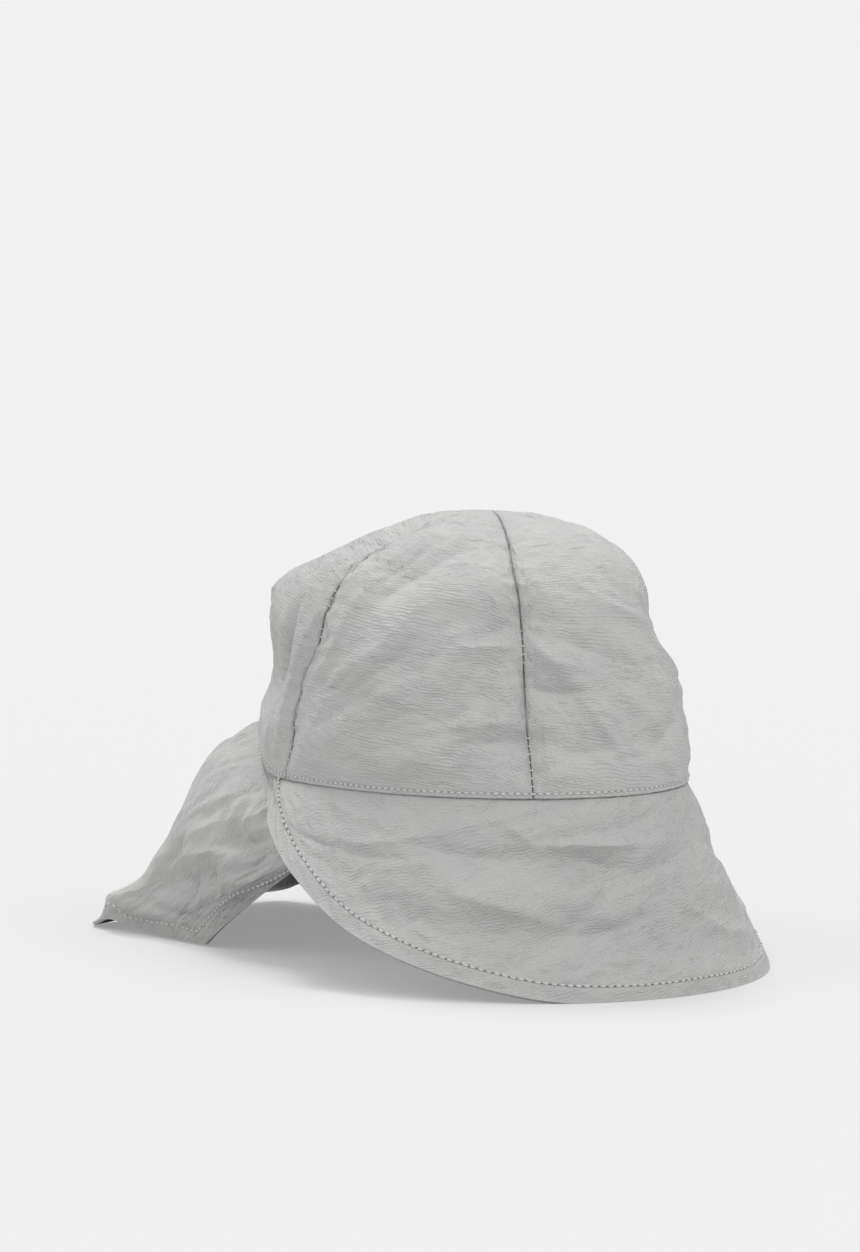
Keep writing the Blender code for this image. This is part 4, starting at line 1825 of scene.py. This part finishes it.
    def build_edge_stitches(self) -> None:
        """Sew the folded lower edge to the visor and the flap."""
        turn = np.linspace(-180.0, 180.0, 1441)
        rise = np.full(turn.shape, self.pattern.sewing.edge_stitch_height / self.pattern.climb)
        line, out = self.line(turn, rise)
        row = StitchRow(pitch=0.0027, length=0.0019, radius=0.00040, lift=0.00026)
        spots = row.spots(line, out)
        row.sew("crown_edge_stitches", self.thread, spots, row.half, 0.0)
        # Dark beads between the stitches paint the shade inside the needle holes.
        row.sew("crown_edge_painted_hole_shade", self.painted_hole_shade, spots, (0.00018, 0.00018, 0.00016), row.pitch / 2.0)

    def build_seam_stitches(self) -> None:
        """Sew the panels together: short threads that cross each seam."""
        stitches = Thread("panel_seam_stitches", self.thread)
        row = StitchRow(pitch=0.0030, length=0.0009, radius=0.00026, lift=-0.00030)
        for index in range(self.pattern.panel_count):
            for low, high in SEWN_RISES.get(WANDERING_SEAMS.get(index), SEWN_RISES["others"]):
                rise = np.linspace(low, high, 400)
                line, out = self.line(self.pattern.seam_turn(index, rise), rise)
                middle, along, outward = row.spots(line, out)
                across_seam = (middle, unit(np.cross(outward, along)), outward)
                stitches.add(*row.beads(across_seam, (row.length, row.radius, row.radius), 0.0))
        stitches.build()

    def build(self) -> None:
        """Build the whole crown."""
        self.build_panels()
        self.build_allowances()
        self.build_edge_stitches()
        self.build_seam_stitches()


@dataclass
class Visor:
    """The soft visor with its turned hem and topstitch."""

    pattern: CapPattern
    nylon: Material
    thread: Material
    painted_hole_shade: Material
    cells: tuple[int, int] = (394, 106)
    tuck_lines: float = 0.06
    broad_crumple: CrumpleRow = CrumpleRow(0.00095, 0.042, 0.018, -16.0)
    sharp_crumple: CrumpleRow = CrumpleRow(0.00060, 0.036, 0.013, -14.0)
    small_crumple: CrumpleRow = CrumpleRow(0.00030, 0.016, 0.0075, -44.0)
    fine_crumple: CrumpleRow = CrumpleRow(0.00022, 0.0060, 0.0028, -15.0)
    pucker_height: float = 0.00048
    pucker_pitch: float = 0.0046
    pucker_length: float = 0.020
    pucker_reach: float = 0.006
    hem_ridge: float = 0.00016
    rim_dip: float = 0.00090
    groove_depth: float = 0.00030
    groove_width: float = 0.0006

    def __post_init__(self) -> None:
        """Draw the noises of the visor's cloth."""
        self.broad = ClothNoise(21)
        self.fine = ClothNoise(22)
        self.pucker = ClothNoise(23)
        self.pleat = ClothNoise(24)

    def fall(self, turn: Array) -> Array:
        """Length of the visor from its seam to its rim.

        Args:
            turn: Turns in degrees.

        Returns:
            Lengths, in metres.
        """
        side = np.abs(turn)
        flare = self.pattern.visor_flare * curve_through(VISOR_RIM, "flare", side)
        drop = self.pattern.seam_height * curve_through(VISOR_RIM, "drop", side)
        return np.hypot(flare, drop)

    def flat(self, turn: Array, along: Array) -> tuple[Array, Array]:
        """Places on the flat cloth, in metres around and down from the seam."""
        radius = self.pattern.mean_radius + self.pattern.visor_flare * np.clip(along, 0.0, 1.0)
        return np.radians(turn) * radius, along * self.fall(turn)

    def relief(self, turn: Array, along: Array) -> Array:
        """Small creases, hem ridge and puckers of the visor.

        Args:
            turn: Turns in degrees.
            along: Shares from the seam to the rim.

        Returns:
            The push outward at each place, in metres.
        """
        pattern, hem_width = self.pattern, self.pattern.sewing.visor_hem_width
        around, down = self.flat(turn, along)
        side_length = pattern.visor_degree(np.clip(along, 0.0, 1.0))
        from_rim = (1.0 - along) * self.fall(turn)
        broad, pleat = self.broad_crumple, self.sharp_crumple
        small, fine = self.small_crumple, self.fine_crumple
        push = pattern.creases(VISOR_CREASES, turn, along, side_length, pattern.seam_height, 1.0)
        push = push + broad.height * self.broad.crumple(around, down, broad)
        push = push + pleat.height * self.pleat.pinched(around, down, pleat)
        push = push + small.height * self.pleat.pinched(around + 0.3, down, small)
        push = push + fine.height * self.fine.crumple(around, down, fine)
        push = push * smooth_step(from_rim, hem_width * 0.6, hem_width + 0.004)
        line = from_rim - hem_width
        beyond = np.exp(-np.maximum(line, 0.0) / self.pucker_reach) * smooth_step(from_rim, 0.0, 0.004)
        gather = self.pucker.at(around / self.pucker_pitch, line / self.pucker_length)
        push = push + self.pucker_height * gather * beyond
        push = push + self.hem_ridge * (1.0 - smooth_step(line, -0.0006, 0.0004))
        push = push - self.rim_dip * (1.0 - smooth_step(from_rim, 0.0, hem_width))
        push = push - self.groove_depth * np.exp(-((line / self.groove_width) ** 2))
        return push * smooth_step(down, 0.0005, 0.006)

    def surface(self, turn: Array, along: Array) -> Array:
        """Outer surface of the visor with all of its relief."""
        return self.pattern.placed(self.pattern.visor(turn, along, self.relief(turn, along)))

    def places(self, across: Array, up: Array) -> tuple[Array, Array]:
        """Places on the visor at shares of its grid.

        Args:
            across: Shares of the grid's columns.
            up: Shares of the grid's rows, from the rim up.

        Returns:
            Turns in degrees and shares along, below 0 on the tucked strip.
        """
        turn = (2.0 * across - 1.0) * self.pattern.visor_half_turn
        return turn, rows_along(VISOR_ROWS, up, self.tuck_lines)

    def sheet(self, across: Array, up: Array) -> Array:
        """Points of the visor, from its rim up to the strip behind the crown."""
        return self.surface(*self.places(across, up))

    def sheet_grain(self, across: Array, up: Array) -> Array:
        """Flat place of each point of the visor."""
        around, down = self.flat(*self.places(across, up))
        return points(around, -down, 0.31)

    def wall(self, across: Array, up: Array) -> Array:
        """Cloth thickness, more on the turned hem.

        Args:
            across: Shares of the grid's columns.
            up: Shares of the grid's rows, from the rim up.

        Returns:
            Thicknesses, in metres.
        """
        turn, along = self.places(across, up)
        sewing = self.pattern.sewing
        from_rim = (1.0 - along) * self.fall(turn)
        on_hem = 1.0 - smooth_step(from_rim, sewing.visor_hem_width - 0.0005, sewing.visor_hem_width + 0.0008)
        return sewing.cloth + (sewing.hem - sewing.cloth) * on_hem * (along >= 0.0)

    def build_stitches(self) -> None:
        """Sew the hem with one row of topstitch."""
        turn = np.linspace(-self.pattern.visor_half_turn, self.pattern.visor_half_turn, 2400)
        along = 1.0 - self.pattern.sewing.visor_hem_width / self.fall(turn)
        kept = along > 0.03
        turn, along = turn[kept], along[kept]
        line = self.surface(turn, along)
        out = outward_of(self.surface, turn, along, (0.2, -0.004))
        row = StitchRow(pitch=0.0030, length=0.0021, radius=0.00050, lift=0.00036)
        spots = row.spots(line, out)
        row.sew("visor_hem_stitches", self.thread, spots, row.half, 0.0)
        # Dark beads between the stitches paint the shade inside the needle holes.
        row.sew("visor_painted_hole_shade", self.painted_hole_shade, spots, (0.00036, 0.00032, 0.00030), row.pitch / 2.0)

    def build(self) -> None:
        """Build the visor and its topstitch."""
        cut = (self.cells, self.sheet, self.sheet_grain, self.wall)
        SewnPiece("sun_visor", "visor", "visor_nylon", *cut).build(self.nylon)
        self.build_stitches()


@dataclass
class NeckFlap:
    """The gathered neck flap with its turned hems."""

    pattern: CapPattern
    nylon: Material
    thread: Material
    cells: tuple[int, int] = (344, 114)
    tuck_lines: float = 0.05
    side_bunch: float = 0.45
    grain_width: float = 0.9
    grain_length: float = 1.5
    broad_crumple: CrumpleRow = CrumpleRow(0.00100, 0.034, 0.012, 90.0)
    sharp_crumple: CrumpleRow = CrumpleRow(0.00070, 0.028, 0.0080, 90.0)
    fine_crumple: CrumpleRow = CrumpleRow(0.00022, 0.010, 0.0030, 76.0)
    fan: float = 12.0
    gather_slant: float = 0.22
    gather_pitch: float = 0.0056
    gather_length: float = 0.045
    fine_gather_pitch: float = 0.0028
    fine_gather_length: float = 0.024
    seam_gather_height: float = 0.00140
    gather_height: float = 0.00070
    seam_gather_reach: float = 0.009
    gather_reach: float = 0.030
    hem_ridge: float = 0.00022
    groove_depth: float = 0.00028
    groove_width: float = 0.0006
    flat_size: tuple[float, float] = (0.375, 0.125)

    def __post_init__(self) -> None:
        """Draw the noises of the flap's cloth."""
        self.broad = ClothNoise(31)
        self.fine = ClothNoise(32)
        self.gathers = ClothNoise(33)
        self.pleat = ClothNoise(34)

    def spans(self, across: Array, along: Array) -> tuple[Array, Array]:
        """Distance between neighbouring strips and between neighbouring rows.

        Args:
            across: Places across.
            along: Shares from the seam to the hem.

        Returns:
            Metres square to the strips for each unit across, and metres square to
            the rows for each unit along.
        """
        inner, within = np.clip(along, 0.02, 0.98), np.clip(across, -0.985, 0.985)
        base = self.pattern.flap_base
        sideways = (base(within + 0.01, inner) - base(within - 0.01, inner)) / 0.02
        onward = (base(within, inner + 0.02) - base(within, inner - 0.02)) / 0.04
        patch = np.linalg.norm(np.cross(sideways, onward), axis=-1)
        return patch / np.linalg.norm(onward, axis=-1), patch / np.linalg.norm(sideways, axis=-1)

    def flat(self, across: Array, along: Array) -> tuple[Array, Array]:
        """Places on the flat cloth, in metres across and down from the seam."""
        around = across * self.pattern.head_length * self.grain_width
        return around, along * self.pattern.seam_height * self.grain_length

    def from_lines(self, across: Array, along: Array) -> Array:
        """Distance inside the nearest topstitch line, negative on the hem.

        Args:
            across: Places across.
            along: Shares from the seam to the hem.

        Returns:
            Distances, in metres.
        """
        wide, long = self.spans(across, along)
        sewing = self.pattern.sewing
        from_hem = (1.0 - along) * long - sewing.flap_hem_width
        from_side = (1.0 - np.abs(across)) * wide - sewing.flap_side_width
        return np.minimum(from_hem, from_side)

    def relief(self, across: Array, along: Array) -> Array:
        """Small creases, gathers and hem ridges of the flap.

        Args:
            across: Places across.
            along: Shares from the seam to the hem.

        Returns:
            The push outward at each place, in metres.
        """
        pattern = self.pattern
        around, down = self.flat(across, along)
        spread = np.tanh(4.0 * across)
        broad, pleat, fine = self.broad_crumple, self.sharp_crumple, self.fine_crumple
        push = pattern.creases(
            FLAP_CREASES, across, along, pattern.flap_fold_width, pattern.flap_fold_length, 1.0
        )
        lower = 1.0 - 0.45 * smooth_step(along, 0.3, 0.8)
        push = push + broad.height * lower * self.broad.crumple(around, down, broad, -self.fan * spread)
        push = push + pleat.height * lower * self.pleat.pinched(around, down, pleat, -self.fan * spread)
        push = push + fine.height * self.fine.crumple(around, down, fine)
        aslant = around + self.gather_slant * down * spread
        gather = self.gathers.at(aslant / self.gather_pitch, down / self.gather_length)
        fine_gather = self.gathers.at(aslant / self.fine_gather_pitch + 40.0, down / self.fine_gather_length)
        near = np.exp(-np.maximum(down, 0.0) / self.seam_gather_reach)
        fade = np.exp(-np.maximum(down, 0.0) / self.gather_reach)
        height = self.seam_gather_height * near + self.gather_height * fade
        push = push + height * gather + self.gather_height * fade * fine_gather
        line = self.from_lines(across, along)
        push = push * smooth_step(line, -pattern.sewing.flap_hem_width, 0.004)
        push = push + self.hem_ridge * (1.0 - smooth_step(line, -0.0006, 0.0004))
        push = push - self.groove_depth * np.exp(-((line / self.groove_width) ** 2))
        return push * smooth_step(down, 0.0005, 0.008)

    def surface(self, across: Array, along: Array) -> Array:
        """Outer surface of the flap with all of its relief."""
        return self.pattern.placed(self.pattern.flap(across, along, self.relief(across, along)))

    def places(self, across: Array, up: Array) -> tuple[Array, Array]:
        """Places on the flap at shares of its grid.

        Args:
            across: Shares of the grid's columns.
            up: Shares of the grid's rows, from the hem up.

        Returns:
            Places across and shares along, below 0 on the tucked strip.
        """
        side = 1.0 - 2.0 * across
        side = side + self.side_bunch * np.sin(math.pi * side) / math.pi
        return side, rows_along(FLAP_ROWS, up, self.tuck_lines)

    def sheet(self, across: Array, up: Array) -> Array:
        """Points of the flap, from its hem up to the strip behind the crown."""
        return self.surface(*self.places(across, up))

    def sheet_grain(self, across: Array, up: Array) -> Array:
        """Flat place of each point of the flap."""
        around, down = self.flat(*self.places(across, up))
        return points(around, -down, 0.53)

    def wall(self, across: Array, up: Array) -> Array:
        """Cloth thickness, more on the turned hems.

        Args:
            across: Shares of the grid's columns.
            up: Shares of the grid's rows, from the hem up.

        Returns:
            Thicknesses, in metres.
        """
        side, along = self.places(across, up)
        sewing = self.pattern.sewing
        on_hem = 1.0 - smooth_step(self.from_lines(side, along), -0.0005, 0.0008)
        return sewing.cloth + (sewing.hem - sewing.cloth) * on_hem * (along >= 0.0)

    def hem_line(self) -> tuple[Array, Array]:
        """Line of the hem's topstitch, from one seam end round to the other.

        Returns:
            Places across and along.
        """
        sewing = self.pattern.sewing
        along = np.linspace(0.03, 1.0, 700)
        side = np.ones(along.shape)
        for _ in range(4):
            side = 1.0 - sewing.flap_side_width / self.spans(side, along)[0]
        across = np.linspace(-1.0, 1.0, 2400)
        low = np.ones(across.shape)
        for _ in range(4):
            low = 1.0 - sewing.flap_hem_width / self.spans(across, low)[1]
        corner = side[-1]
        bottom = np.abs(across) < corner
        stop = along < low[np.argmin(np.abs(across - corner))]
        places_across = np.concatenate([-side[stop], across[bottom], side[stop][::-1]])
        places_along = np.concatenate([along[stop], low[bottom], along[stop][::-1]])
        return places_across, places_along

    def build_stitches(self) -> Object:
        """Sew the hems with one row of topstitch.

        Returns:
            The stitches.
        """
        across, along = self.hem_line()
        line = self.surface(across, along)
        out = outward_of(self.surface, across, along, (-0.004, -0.004))
        row = StitchRow(pitch=0.0030, length=0.0022, radius=0.00046, lift=0.00030)
        return row.sew("flap_hem_stitches", self.thread, row.spots(line, out), row.half, 0.0)

    def build(self) -> None:
        """Build the flap and its topstitch, and log its size as laid."""
        cut = (self.cells, self.sheet, self.sheet_grain, self.wall)
        flap = SewnPiece("gathered_flap", "neck_flap", "flap_nylon", *cut).build(self.nylon)
        self.declare(self.build_stitches())

    def declare(self, stitches: Object) -> None:
        """Log the area, hem length and middle length of the flap as laid.

        Args:
            stitches: Its topstitch; not used.
        """
        columns, rows = 241, 121
        shares = (np.linspace(-1.0, 1.0, columns), np.linspace(0.0, 1.0, rows))
        across, along = np.meshgrid(*shares, indexing="ij")
        grid = self.surface(across.ravel(), along.ravel()).reshape(columns, rows, 3)
        patches = np.cross(grid[1:, :-1] - grid[:-1, :-1], grid[:-1, 1:] - grid[:-1, :-1])
        area = np.linalg.norm(patches, axis=-1).sum()
        hem = np.linalg.norm(np.diff(grid[:, -1], axis=0), axis=-1).sum()
        middle = np.linalg.norm(np.diff(grid[columns // 2], axis=0), axis=-1).sum()
        log.info("flap: area %.5f m2, hem %.3f m, middle %.3f m", area, hem, middle)
        flat, area = self.flat_size, float(area)


@dataclass
class Studio:
    """Pale floor, soft light and the camera. Lengths are in metres."""

    centre_y: float
    distance: float = 2.0
    turn: float = -45.0
    elevation: float = 5.3
    aim_side: float = -0.0169
    aim_height: float = 0.1254
    lens: float = 153.35
    paper: float = 0.883
    bounce: float = 0.50
    glow: float = 0.32
    horizon: float = 0.50
    zenith: float = 0.64
    floor_radius: float = 40.0
    floor_grey: float = 0.80
    fade_from: float = 0.5
    fade_to: float = 1.6

    def build_floor(self) -> None:
        """Lay a wide pale floor that fades into the backdrop, with a painted glow near the cap that lifts the
        cap's shadow.
        """
        disc = bmesh.new()
        bmesh.ops.create_circle(disc, cap_ends=True, segments=96, radius=self.floor_radius)
        mesh = bpy.data.meshes.new("studio_floor")
        disc.to_mesh(mesh)
        disc.free()
        floor = bpy.data.objects.new("studio_floor", mesh)
        bpy.context.scene.collection.objects.link(floor)
        material = bpy.data.materials.new("pale_paper")
        material.use_nodes = True
        nodes, links = material.node_tree.nodes, material.node_tree.links
        nodes.remove(nodes["Principled BSDF"])
        paper = new_node(nodes, "BsdfDiffuse", Color=even_grey(self.floor_grey))
        # Painted light: near the cap the floor glows at the glow share, which lifts the cap's cast shadow;
        # far out it glows fully as the even backdrop.
        glow = new_node(nodes, "Emission", Color=even_grey(self.paper))
        place, far = new_node(nodes, "TexCoord"), new_node(nodes, "VectorMath")
        far.operation = "LENGTH"
        fade = new_node(nodes, "MapRange", From_Min=self.fade_from, From_Max=self.fade_to, To_Min=self.glow)
        mix = new_node(nodes, "MixShader")
        links.new(place.outputs["Object"], far.inputs[0])
        links.new(far.outputs["Value"], fade.inputs["Value"])
        links.new(fade.outputs["Result"], mix.inputs["Fac"])
        links.new(paper.outputs["BSDF"], mix.inputs[1])
        links.new(glow.outputs["Emission"], mix.inputs[2])
        cast = new_node(nodes, "BsdfDiffuse", Color=even_grey(self.bounce))
        path, seen = new_node(nodes, "LightPath"), new_node(nodes, "MixShader")
        links.new(path.outputs["Is Camera Ray"], seen.inputs["Fac"])
        links.new(cast.outputs["BSDF"], seen.inputs[1])
        links.new(mix.outputs["Shader"], seen.inputs[2])
        links.new(seen.outputs["Shader"], nodes["Material Output"].inputs["Surface"])
        mesh.materials.append(material)
        floor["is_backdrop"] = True

    def hang_lamp(self, row: LampRow) -> None:
        """Hang a wide soft lamp far from the cap.

        Args:
            row: The lamp's power, width and place.
        """
        lamp = bpy.data.lights.new(row.name, "SUN")
        lamp.energy = row.power
        lamp.angle = math.radians(row.spread)
        light = bpy.data.objects.new(row.name, lamp)
        tilt, turn = math.radians(row.tilt), math.radians(row.turn)
        above = Vector((math.sin(turn) * math.sin(tilt), -math.cos(turn) * math.sin(tilt), math.cos(tilt)))
        light.rotation_mode = "QUATERNION"
        light.rotation_quaternion = (-above).to_track_quat("-Z", "Y")
        bpy.context.scene.collection.objects.link(light)

    def build_light(self) -> None:
        """Light the cap with wide soft lamps and an even sky."""
        for row in LAMPS:
            self.hang_lamp(row)
        world = bpy.data.worlds.new("studio_sky")
        world.use_nodes = True
        bpy.context.scene.world = world
        nodes, links = world.node_tree.nodes, world.node_tree.links
        lit, seen = nodes["Background"], new_node(nodes, "Background", Color=even_grey(self.paper))
        links.new(self.sky(nodes, links), lit.inputs["Color"])
        path, mix = new_node(nodes, "LightPath"), new_node(nodes, "MixShader")
        links.new(path.outputs["Is Camera Ray"], mix.inputs["Fac"])
        links.new(lit.outputs["Background"], mix.inputs[1])
        links.new(seen.outputs["Background"], mix.inputs[2])
        links.new(mix.outputs["Shader"], nodes["World Output"].inputs["Surface"])

    def sky(self, nodes: Nodes, links: NodeLinks) -> NodeSocket:
        """Soft dome that is brighter overhead than near the floor.

        Args:
            nodes: Nodes of the world.
            links: Links of the world.

        Returns:
            The dome's colour.
        """
        place, split = new_node(nodes, "TexCoord"), new_node(nodes, "SeparateXYZ")
        lift = new_node(nodes, "Math")
        dome = new_node(nodes, "MapRange", To_Min=self.horizon, To_Max=self.zenith)
        lift.operation = "POWER"
        lift.use_clamp = True
        lift.inputs[1].default_value = 2.0
        links.new(place.outputs["Generated"], split.inputs["Vector"])
        links.new(split.outputs["Z"], lift.inputs[0])
        links.new(lift.outputs["Value"], dome.inputs["Value"])
        return dome.outputs["Result"]

    def build_camera(self) -> None:
        """Set the camera at the photographed angle."""
        camera = bpy.data.cameras.new("photo_camera")
        camera.lens = self.lens
        camera.sensor_width = 36.0
        camera.clip_start, camera.clip_end = 0.1, 200.0
        piece = bpy.data.objects.new("photo_camera", camera)
        turn, rise = math.radians(self.turn), math.radians(self.elevation)
        back = Vector((math.sin(turn) * math.cos(rise), -math.cos(turn) * math.cos(rise), math.sin(rise)))
        right = Vector((math.cos(turn), math.sin(turn), 0.0))
        aim = right * self.aim_side + Vector((0.0, self.centre_y, self.aim_height))
        piece.location = aim + back * self.distance
        piece.rotation_mode = "QUATERNION"
        piece.rotation_quaternion = (-back).to_track_quat("-Z", "Y")
        bpy.context.scene.collection.objects.link(piece)
        bpy.context.scene.camera = piece
        bpy.context.scene.view_settings.view_transform = "Standard"

    def build(self) -> None:
        """Build the floor, the light and the camera."""
        self.build_floor()
        self.build_light()
        self.build_camera()


def keep_sizes(solid_box: tuple[Vector, Vector]) -> None:
    """Work out the box of the solids and the box of the dressed cap.

    Args:
        solid_box: Low and high corner of the solids.
    """
    boxes = {"cad": solid_box, "visual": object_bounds()}
    boxes = {name: [list(corner) for corner in box] for name, box in boxes.items()}


def main() -> None:
    """Load the frame, then build the cap and its studio."""
    logging.basicConfig(level=logging.INFO, format="%(message)s")
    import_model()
    solid_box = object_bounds()
    pattern = CapPattern(Sewing())
    thread = PlainFinish("pale_thread", (0.92, 0.92, 0.91), 0.6, 0.0004).material()
    # Dark finish for beads that paint the shade inside the needle holes.
    painted_hole_shade = PlainFinish("needle_hole_painted_shade", (0.24, 0.24, 0.24), 0.9).material()
    crown_cloth = CrinkledNylon("crown_cloth").material()
    Crown(pattern, crown_cloth, thread, painted_hole_shade).build()
    # The visor's cloth is a darker copy of the same nylon: painted shade.
    visor_cloth_painted_shade = CrinkledNylon("visor_cloth_painted_shade", (0.574, 0.573, 0.568), lean=14.0).material()
    Visor(pattern, visor_cloth_painted_shade, thread, painted_hole_shade).build()
    # The flap's cloth is a lighter copy of the same nylon: painted light.
    flap_cloth_painted_light = CrinkledNylon("flap_cloth_painted_light", (0.632, 0.630, 0.624), lean=74.0).material()
    NeckFlap(pattern, flap_cloth_painted_light, thread).build()
    Studio(pattern.centre_y).build()
    keep_sizes(solid_box)


if __name__ == "__main__":
    main()
